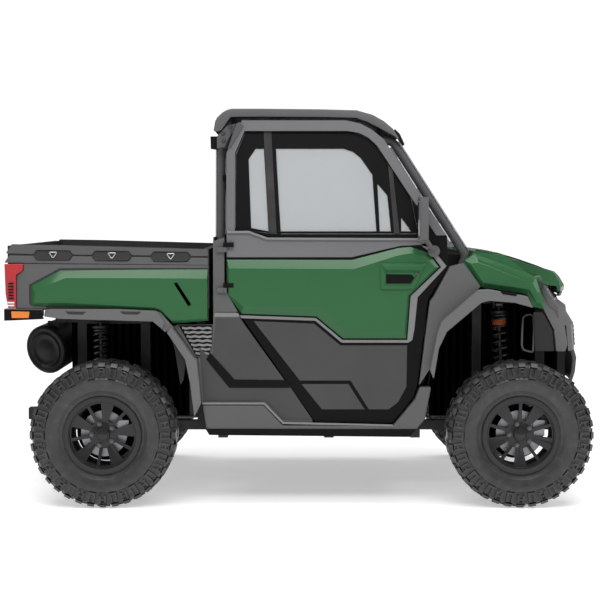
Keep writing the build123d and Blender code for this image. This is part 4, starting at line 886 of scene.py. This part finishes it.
# ---------------------------------------------------------------- silencer end cap
# Pressed end cap with two raised rings and a domed centre, crimped to the oval silencer body.
cap_paint = finish("silencer_cap", (0.014, 0.014, 0.015), 0.3, grain=900, dust=0.08)
cap_place, cap_along, cap_rise, cap_tilt = (-1.345, 0.4365, 0.772), 0.098, 0.123, math.radians(20)
for side_name, side in sides:
    cap = lathe([(0, 0.006), (0.3, 0.007), (0.42, 0.0), (0.58, 0.0), (0.64, 0.006), (0.70, 0.006),
                 (0.76, -0.002), (0.86, -0.002), (0.93, 0.003), (0.985, 0.0), (0.99, -0.012), (0, -0.012)],
                48)
    for vert in cap.verts:
        along, rise = vert.co.x * cap_along, vert.co.z * cap_rise
        vert.co = Vector((cap_place[0] + along * math.cos(cap_tilt) - rise * math.sin(cap_tilt),
                          side * (cap_place[1] + vert.co.y),
                          cap_place[2] + along * math.sin(cap_tilt) + rise * math.cos(cap_tilt)))
    as_piece(f"silencer_cap_{side_name}", cap, cap_paint, "chassis", sharp=50)

# ---------------------------------------------------------------- sill trims
# A pale strip painted as the highlight along the sill's top edge, and a black rubber skirt under it.
skin("sill_top_highlight",
     [(-498, 532), (-180, 532), (-83, 432), (472, 419), (472, 410), (-88, 422), (-185, 522), (-498, 522)],
     0.7405, trim_and_highlight, both_fixed, rim=0.003, rise=0.002)
skin("sill_skirt", [(-482, 398), (-462, 366), (558, 356), (592, 396)], 0.7480, black_trim, both_fixed,
     rim=0.006, rise=0.004, thick=0.012)

# ---------------------------------------------------------------- hood and fascia
# Metallic green hood and grey fascia, both bowed back towards the fenders, with the lamp units between
# them. Each is a thin moulding with its edges rolled over.
def bowed(node, width, material, bow, span, ahead):
    """A rounded copy of a CAD node whose front is swept back towards its two sides."""
    shell = rounded(node, 0, material)
    mesh = bmesh.new()
    mesh.from_mesh(shell.data)
    for step in range(-9, 10):
        bmesh.ops.bisect_plane(mesh, geom=mesh.verts[:] + mesh.edges[:] + mesh.faces[:],
                               plane_co=(0, step * span / 9.5, 0), plane_no=(0, 1, 0))
    for vert in mesh.verts:
        share = min(max((vert.co.x - ahead[0]) / (ahead[1] - ahead[0]), 0.0), 1.0)
        vert.co.x -= bow * (vert.co.y / span) ** 2 * share
    mesh.to_mesh(shell.data)
    mesh.free()
    shell.data.set_sharp_from_angle(angle=math.radians(22))
    soften(shell, width)


def loft(mesh, rings):
    """Walls from each ring of vertices to the next, and a cap on both ends."""
    for one, other in zip(rings, rings[1:]):
        for corner in range(len(one)):
            after = (corner + 1) % len(one)
            mesh.faces.new((one[corner], one[after], other[after], other[corner]))
    mesh.faces.new(rings[0])
    mesh.faces.new(rings[-1])


def swept_bar(name, profile, reach, bow, material, body, steps=16):
    """A closed profile of (x, z) points in millimetres swept across the vehicle, bowed back at its ends."""
    mesh = bmesh.new()
    rings = []
    middle = sum(z for _, z in profile) / len(profile)
    for step in range(steps + 1):
        share = step / steps * 2 - 1
        shrink = 1 - 0.12 * share ** 6
        rings.append([mesh.verts.new((x / 1000 - bow * share * share, share * reach,
                                      (middle + (z - middle) * shrink) / 1000)) for x, z in profile])
    loft(mesh, rings)
    as_piece(name, mesh, material, body, sharp=30)


bowed("hood_panel", 0.005, green, 0.085, 0.47, (0.95, 1.35))
bowed("front_fascia", 0.005, panel_grey, 0.112, 0.59, (1.20, 1.36))
lamp_clear = finish("lamp_lens", (0.45, 0.47, 0.48), 0.1, grain=120, depth=0.0001, cloud=0.3, Coat_Weight=1.0)
bowed("headlamps", 0.002, lamp_clear, 0.112, 0.59, (1.20, 1.36))
for vert in rounded("front_fenders", 0.006, green).data.vertices:
    vert.co.y *= 0.965
    vert.co.x = min(vert.co.x, 1.25 + (vert.co.x - 1.25) * 0.15)
swept_bar("hood_lip", [(1390, 1171), (1412, 1163), (1440, 1122), (1449, 1098), (1447, 1078), (1437, 1052),
                       (1428, 1052), (1432, 1082), (1422, 1112), (1396, 1134)], 0.43, 0.072, black_trim,
          "hood")
# Black line along each side of the hood's raised centre panel, drawn where that panel's edge reads as a dark
# line.
for side_name, side in sides:
    crease = [(0.93, side * 0.405, 1.299), (1.04, side * 0.4, 1.2845), (1.15, side * 0.39, 1.2515),
              (1.25, side * 0.375, 1.2175), (1.33, side * 0.345, 1.187)]
    tube_of(f"hood_edge_line_{side_name}", crease, 0.0035, black_trim, "hood", sides=8)

# Fender side: the bevelled green skin outside the inner fender, with a raised facet behind the lamp.
skin("fender_green",
     [(834, 1254), (922, 1118), (1153, 1084), (1184, 1022), (1241, 1009), (1248, 1022), (1224, 1091),
      (1200, 1170), (1140, 1196), (1010, 1246), (885, 1288)],
     0.7365, green, both_fixed, rise=0.022, thick=0.06, soft=0.004,
     inner=[(866, 1240), (932, 1142), (1164, 1108), (1199, 1046), (1222, 1040), (1228, 1042), (1204, 1092),
            (1176, 1140), (1124, 1156), (1004, 1204), (900, 1244)])
skin("fender_facet",
     [(960, 1196), (1100, 1156), (1150, 1146), (1134, 1118), (1104, 1128), (1110, 1142), (972, 1172)],
     0.7400, green, both_fixed, rim=0.007, rise=0.006)
skin("fender_fold",
     [(905, 1262), (1010, 1226), (1138, 1176), (1186, 1152), (1182, 1142), (1132, 1162), (1006, 1212),
      (908, 1248)],
     0.7405, green, both_fixed, rim=0.006, rise=0.007, thick=0.008)

# Corner blades of the fascia: a pale grey blade from the fender down to the bumper and a dark plate.
skin("nose_blade",
     [(1212, 1166), (1243, 1172), (1290, 1080), (1324, 1040), (1350, 985), (1372, 918), (1388, 815),
      (1376, 778), (1330, 778), (1318, 890), (1268, 985), (1258, 1012), (1228, 1090)],
     0.598, flare_grey, both_fixed, rim=0.012, rise=0.014, thick=0.05, soft=0.003)
skin("nose_plate", [(1212, 982), (1262, 982), (1312, 890), (1322, 778), (1222, 778)], 0.575, dark_grey,
     both_fixed, rim=0.01, rise=0.006, thick=0.02)
skin("hood_side",
     [(900, 1298), (1153, 1244), (1261, 1210), (1313, 1193), (1338, 1176), (1362, 1130), (1358, 1112),
      (1290, 1118), (1240, 1146), (1180, 1176), (950, 1245)],
     0.480, green, ("hood", "hood"), rim=0.008, rise=0.004, thick=0.004)
# Black patch painted as the shade in the recessed slot at the top of the flare.
skin("flare_slot_shade", [(1006, 1104), (1097, 1092), (1086, 1077), (1018, 1087)], 0.7945, black_trim, both_fixed,
     rim=0.003, rise=0.001, thick=0.004)

# Front grille: a black recess with grey slats, and a cast fairlead with steel rollers.
swept_bar("grille_recess", [(1490, 906), (1502, 904), (1511, 778), (1500, 774)], 0.30, 0.030, black_trim,
          "chassis")
for number in range(5):
    z = 884 - number * 23
    x = 1500 + (884 - z) * 0.075
    swept_bar(f"grille_slat_{number}", [(x - 4, z + 5), (x + 6, z + 4), (x + 7, z - 4), (x - 4, z - 6)],
              0.275, 0.026, flare_grey, "chassis", steps=10)
fairlead = bmesh.new()
for place, size in (((1.509, 0, 0.718), (0.012, 0.20, 0.012)), ((1.509, 0, 0.672), (0.012, 0.20, 0.012)),
                    ((1.509, -0.095, 0.695), (0.012, 0.014, 0.05)),
                    ((1.509, 0.095, 0.695), (0.012, 0.014, 0.05))):
    box(fairlead, place, size)
round_off(fairlead, 0.0025)
as_piece("fairlead", fairlead, black_trim, "chassis", sharp=50)
for number, z in enumerate((0.705, 0.685)):
    tube_of(f"fairlead_roller_{number}", [(1.510, -0.08, z), (1.510, 0.0, z), (1.510, 0.08, z)], 0.006, steel,
            "chassis", sides=12)

# ---------------------------------------------------------------- splash shields and wheel-well fittings
# Black ribbed polyethylene shields close the wheel wells inboard of the shocks, near black so that they also
# paint the deep shade in the wells. In front of them run the brake hoses and brackets, and a rubber flap
# hangs ahead of each rear wheel.
# near black: the shields' own black plastic, and painted shade in the wells
shield_black_and_shade = finish("shield_black_and_shade", (0.003, 0.003, 0.003), 0.8, grain=300, Specular_IOR_Level=0.1)


def shield(name, low_x, high_x, low_z, high_z, y=0.262):
    """Upright sheet on both sides, pressed into ribs 3 mm deep."""
    columns = int((high_x - low_x) / 0.02)
    for side_name, side in sides:
        sheet = bmesh.new()
        bmesh.ops.create_grid(sheet, x_segments=columns, y_segments=1, size=0.5)
        for vert in sheet.verts:
            column = round((vert.co.x + 0.5) * columns)
            vert.co = Vector((low_x + (vert.co.x + 0.5) * (high_x - low_x),
                              side * (y + (0.003 if column % 4 in (1, 2) else 0.0)),
                              low_z + (vert.co.y + 0.5) * (high_z - low_z)))
        bmesh.ops.solidify(sheet, geom=sheet.faces[:], thickness=0.003)
        as_piece(f"{name}_{side_name}", sheet, shield_black_and_shade, "chassis", sharp=20)


shield("front_shield", 0.70, 1.375, 0.40, 1.055)
shield("rear_shield", -1.19, -0.60, 0.40, 0.905)
shield("rear_tail_shield", -1.235, -1.19, 0.62, 0.905)
orange = finish("preload_orange", (0.34, 0.07, 0.015), 0.35, grain=500, Coat_Weight=0.4)
hose_grey = finish("hose_grey", (0.22, 0.22, 0.22), 0.35, grain=900, Metallic=0.4)
olive = finish("strip_olive", (0.09, 0.095, 0.05), 0.5, grain=500)
for side_name, side in sides:
    collar = lathe([(0.027, -0.006), (0.0375, -0.006), (0.0385, 0), (0.0375, 0.006), (0.036, 0.03),
                    (0.027, 0.032)], 24)
    foot, top = (Vector((end[0], end[1] * side, end[2])) for end in spring_ends["front"])
    along = (top - foot).normalized()
    turn = Vector((0, 1, 0)).rotation_difference(along).to_matrix().to_4x4()
    bmesh.ops.transform(collar, verts=collar.verts, matrix=Matrix.Translation(top - along * 0.055) @ turn)
    as_piece(f"preload_collar_{side_name}", collar, orange, "chassis")
    loop = [(1.190, 0.44, 0.955), (1.176, 0.455, 0.94), (1.172, 0.46, 0.88), (1.170, 0.46, 0.80),
            (1.178, 0.455, 0.775), (1.2, 0.45, 0.768), (1.23, 0.45, 0.762)]
    tube_of(f"brake_bracket_{side_name}", [(x, y * side, z) for x, y, z in loop], 0.006, hose_grey, "chassis")
    loop = [(1.190, 0.44, 0.955), (1.215, 0.445, 0.962), (1.232, 0.45, 0.95), (1.234, 0.45, 0.88),
            (1.230, 0.45, 0.762)]
    tube_of(f"brake_hose_{side_name}", [(x, y * side, z) for x, y, z in loop], 0.0045, hose_grey, "chassis")
    for number, x in enumerate((-0.842, -0.812)):
        strip = bmesh.new()
        box(strip, (x, 0.300 * side, 0.82), (0.010, 0.004, 0.15), tilt=0.04)
        round_off(strip, 0.0012, segments=1)
        as_piece(f"well_strip_{number}_{side_name}", strip, olive, "chassis")
skin("mud_flap", [(-672, 905), (-560, 905), (-596, 640), (-612, 618), (-640, 800)], 0.700, dark_grey,
     both_fixed, rim=0.01, rise=0.004, thick=0.004)

# ---------------------------------------------------------------- roof
# One thermoformed plastic roof with a deep rolled edge down each side, wrapped down behind the cab, and
# low ribs along its crown. It bolts to the cage through the corner gussets and two front clamps.
roof_grey = finish("roof_plastic", (0.085, 0.085, 0.087), 0.45, grain=420, depth=0.00008)
roof_top = [(-441, 1917), (-434, 1962), (-424, 1982), (-397, 2007), (-375, 2020), (-351, 2027), (-200, 2027),
            (100, 2024), (289, 2019), (371, 1996), (430, 1963), (474, 1926), (505, 1880)]
roof_foot = [(-402, 1918), (-372, 1962), (-366, 1970), (-360, 1978), (-356, 1984), (-346, 1986), (-200, 1987),
             (100, 1985), (286, 1981), (345, 1960), (402, 1932), (450, 1904), (497, 1879)]
roof_stations = [(0.636, -14, 0.5), (0.634, -5, 1), (0.626, 0, 1), (0.600, 0, 1), (0.585, 0, 0), (0.45, 0, 0),
                 (0.44, 0, 0), (0.43, -5, 0), (0.27, -5, 0), (0.26, 0, 0), (0.12, 0, 0), (0.11, -5, 0)]
roof = bmesh.new()
roof_rings = []
for y, drop, deep in [(-y, drop, deep) for y, drop, deep in roof_stations] + roof_stations[::-1]:
    ring = []
    for (x, z) in roof_top:
        ring.append((x, z + (drop if z > 1950 else drop * 0.3)))
    for (x, z), (x_top, z_top) in list(zip(roof_foot, roof_top))[::-1]:
        thin_x, thin_z = x_top + (x - x_top) * 0.13, z_top + drop + (z - z_top) * 0.13
        ring.append((thin_x + (x - thin_x) * deep, thin_z + (z - thin_z) * deep))
    roof_rings.append([roof.verts.new((x / 1000, y, z / 1000)) for x, z in ring])
loft(roof, roof_rings)
roof_shell = as_piece("roof_shell", roof, roof_grey, "chassis", sharp=50)
soften(roof_shell, 0.005, 3, 35)
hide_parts("roof_panel")

# Corner gusset plates and their flanged bolts, a clamp block behind each, and the roof's front clamps.
skin("corner_gusset", [(-424, 1885), (-372, 1941), (-326, 1951), (-384, 1832), (-424, 1823)], 0.7065,
     cage_black, both_fixed, rise=0.002)
skin("door_corner_plate", [(-368, 1820), (-352, 1829), (-288, 1938), (-306, 1958), (-324, 1950)], 0.7315,
     cage_black, doors, rise=0.002, thick=0.004)
skin("clamp_block", [(-460, 1888), (-426, 1888), (-426, 1820), (-458, 1824)], 0.665, black_trim, both_fixed,
     rise=0.004, thick=0.04)
skin("roof_clamp", [(486, 1926), (512, 1900), (536, 1846), (528, 1838), (500, 1876), (480, 1902)], 0.680,
     black_trim, both_fixed, rim=0.003, thick=0.03)
for number, (x, z) in enumerate(((-356, 1934), (-345, 1908), (-388, 1862), (-392, 1900))):
    for side_name, side in sides:
        bolt = bmesh.new()
        spot = (x / 1000, side * (0.7062 - (z / 1000 - belt) * lean), z / 1000)
        bolt_head(bolt, spot, (0, side, 0), 0.0085, 0.006, 12)
        as_piece(f"gusset_bolt_{number}_{side_name}", bolt, nut_steel, "chassis")

# ---------------------------------------------------------------- seats
# Foam pads under black vinyl, swelled between their seams: a driver's seat and a two-place bench, each a
# cushion and a back, with separate headrests on steel posts. Piping runs round each cushion's top and each
# back's front.
vinyl = Paint("seat_vinyl", Roughness=0.55, Specular_IOR_Level=0.3)
vinyl = vinyl.link(
    Base_Color=vinyl.between(vinyl.noise(14), (0.016, 0.016, 0.017, 1), (0.026, 0.026, 0.027, 1)),
    Normal=vinyl.bump(vinyl.noise(700, 3), 0.0004),
)
piping = finish("seat_piping", (0.05, 0.05, 0.052), 0.5, grain=900, depth=0.00005)


settling_frames = 20


def pad(name, low, high, node, cap):
    """A padded box: its walls bulge under cloth pressure, no further than `cap`."""
    mesh = bmesh.new()
    box(mesh, [(a + b) / 2 for a, b in zip(low, high)], [b - a - 0.02 for a, b in zip(low, high)])
    round_off(mesh, 0.02, segments=4)
    piece = as_piece(name, mesh, vinyl, body_of_node[node])
    remesh = piece.modifiers.new("remesh", "REMESH")
    remesh.mode, remesh.voxel_size = "VOXEL", 0.006
    depsgraph = bpy.context.evaluated_depsgraph_get()
    data = bpy.data.meshes.new_from_object(piece.evaluated_get(depsgraph))
    piece.modifiers.clear()
    piece.data = data
    start = [vert.co.copy() for vert in data.vertices]
    cloth = piece.modifiers.new("cloth", "CLOTH")
    cloth.settings.use_pressure = True
    cloth.settings.uniform_pressure_force = 4
    cloth.settings.effector_weights.gravity = 0
    for step in range(1, settling_frames + 1):
        bpy.context.scene.frame_set(step)
    depsgraph = bpy.context.evaluated_depsgraph_get()
    swollen = bpy.data.meshes.new_from_object(piece.evaluated_get(depsgraph))
    piece.modifiers.clear()
    for vert, was in zip(swollen.vertices, start):
        move = vert.co - was
        if move.length > cap:
            vert.co = was + move * (cap / move.length)
    piece.data = swollen
    bpy.context.scene.frame_set(1)
    for vert in piece.data.vertices:
        vert.co = Vector([min(max(value, a), b) for value, a, b in zip(vert.co, low, high)])
    for face in piece.data.polygons:
        face.use_smooth = True
    piece.data.materials.clear()
    piece.data.materials.append(vinyl)
    smooth = piece.modifiers.new("finer", "SUBSURF")
    smooth.levels = smooth.render_levels = 1
    return piece


for place, low_y, high_y in (("driver", 0.205, 0.575), ("bench", -0.575, 0.175)):
    cushion = pad(f"cushion_{place}", (-0.270, low_y, 0.695), (0.098, high_y, 0.798), "seat_cushion", 0.024)
    back = pad(f"backrest_{place}", (-0.372, low_y, 0.80), (-0.278, high_y, 1.36), "seat_backrest", 0.022)
    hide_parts("seat_cushion")
    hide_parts("seat_backrest")
    seams = {
        "cushion": [(x, y, 0.7915) for x, y in (
            (-0.255, low_y + 0.012), (0.082, low_y + 0.012), (0.090, low_y + 0.03),
            (0.090, high_y - 0.03), (0.082, high_y - 0.012), (-0.255, high_y - 0.012))],
        "backrest": [(-0.2825, y, z) for y, z in (
            (low_y + 0.014, 0.83), (low_y + 0.014, 1.33), (low_y + 0.03, 1.346),
            (high_y - 0.03, 1.346), (high_y - 0.014, 1.33), (high_y - 0.014, 0.83))],
    }
    for seam, line in seams.items():
        tube_of(f"piping_{seam}_{place}", line, 0.0028, piping, body_of_node["seat_cushion"], sides=8,
                cyclic=True)
for number, y in enumerate((-0.39, 0.0, 0.39)):
    pad(f"headrest_{number}", (-0.372, y - 0.12, 1.372), (-0.286, y + 0.12, 1.450), "seat_backrest", 0.012)
    for post in (-0.06, 0.06):
        line = [(-0.33, y + post, z) for z in (1.34, 1.36, 1.395)]
        tube_of(f"headrest_post_{number}_{'a' if post < 0 else 'b'}", line, 0.006, steel,
                body_of_node["seat_backrest"])

# Belts: webbing from a guide loop at the shoulder, down over the backrest to the cushion.
webbing = finish("belt_webbing", (0.02, 0.02, 0.021), 0.8, grain=1600, depth=0.0002)
for side_name, side in sides:
    path = [(-0.385, 0.585, 1.66), (-0.378, 0.575, 1.50), (-0.372, 0.560, 1.40), (-0.300, 0.530, 1.385),
            (-0.272, 0.522, 1.34), (-0.268, 0.51, 1.10), (-0.262, 0.50, 0.90), (-0.24, 0.50, 0.815)]
    strap = bmesh.new()
    rows = []
    for x, y, z in path:
        rows.append([strap.verts.new((x, side * (y + half), z)) for half in (-0.023, 0.023)])
    for one, other in zip(rows, rows[1:]):
        strap.faces.new((one[0], one[1], other[1], other[0]))
    bmesh.ops.subdivide_edges(strap, edges=strap.edges[:], cuts=2, use_grid_fill=True)
    bmesh.ops.recalc_face_normals(strap, faces=strap.faces)
    bmesh.ops.solidify(strap, geom=strap.faces[:], thickness=0.0014)
    as_piece(f"belt_{side_name}", strap, webbing, "chassis", sharp=50)
    guide = bmesh.new()
    box(guide, (-0.388, side * 0.585, 1.675), (0.02, 0.062, 0.03))
    round_off(guide, 0.005)
    as_piece(f"belt_guide_{side_name}", guide, black_trim, "chassis")

# ---------------------------------------------------------------- mirrors and dash
# Mirror glass in the rear face of each housing, and the dash's screen, vents and switch panel.
mirror_silver = finish("mirror_silver", (0.75, 0.76, 0.77), 0.03, grain=40, depth=0.00001, Metallic=1.0)
screen_black = finish("screen_black", (0.004, 0.004, 0.005), 0.08, grain=40, depth=0.00001, Coat_Weight=1.0)
for side_name, side in sides:
    glass = bmesh.new()
    box(glass, (0.5915, 0.800 * side, 1.467), (0.003, 0.118, 0.170))
    round_off(glass, 0.0011)
    as_piece(f"mirror_glass_{side_name}", glass, mirror_silver, body_of_node[f"mirror_{side_name}"])
    vent = bmesh.new()
    box(vent, (0.5365, 0.46 * side, 1.215), (0.006, 0.10, 0.05))
    for number in range(4):
        box(vent, (0.5315, 0.46 * side, 1.197 + number * 0.012), (0.006, 0.092, 0.003))
    round_off(vent, 0.0011)
    as_piece(f"dash_vent_{side_name}", vent, black_trim, "chassis")
for name, y, z, wide, high, material in (("dash_screen", 0.02, 1.205, 0.19, 0.11, screen_black),
                                         ("glove_door", -0.33, 1.13, 0.26, 0.12, dark_grey),
                                         ("switch_panel", 0.02, 1.10, 0.20, 0.05, dark_grey)):
    slab = bmesh.new()
    box(slab, (0.5365, y, z), (0.006, wide, high))
    if name == "switch_panel":
        for number in range(5):
            box(slab, (0.5325, y - 0.076 + number * 0.038, z), (0.006, 0.026, 0.034), tilt=0.15)
    round_off(slab, 0.0016)
    as_piece(name, slab, material, "chassis")
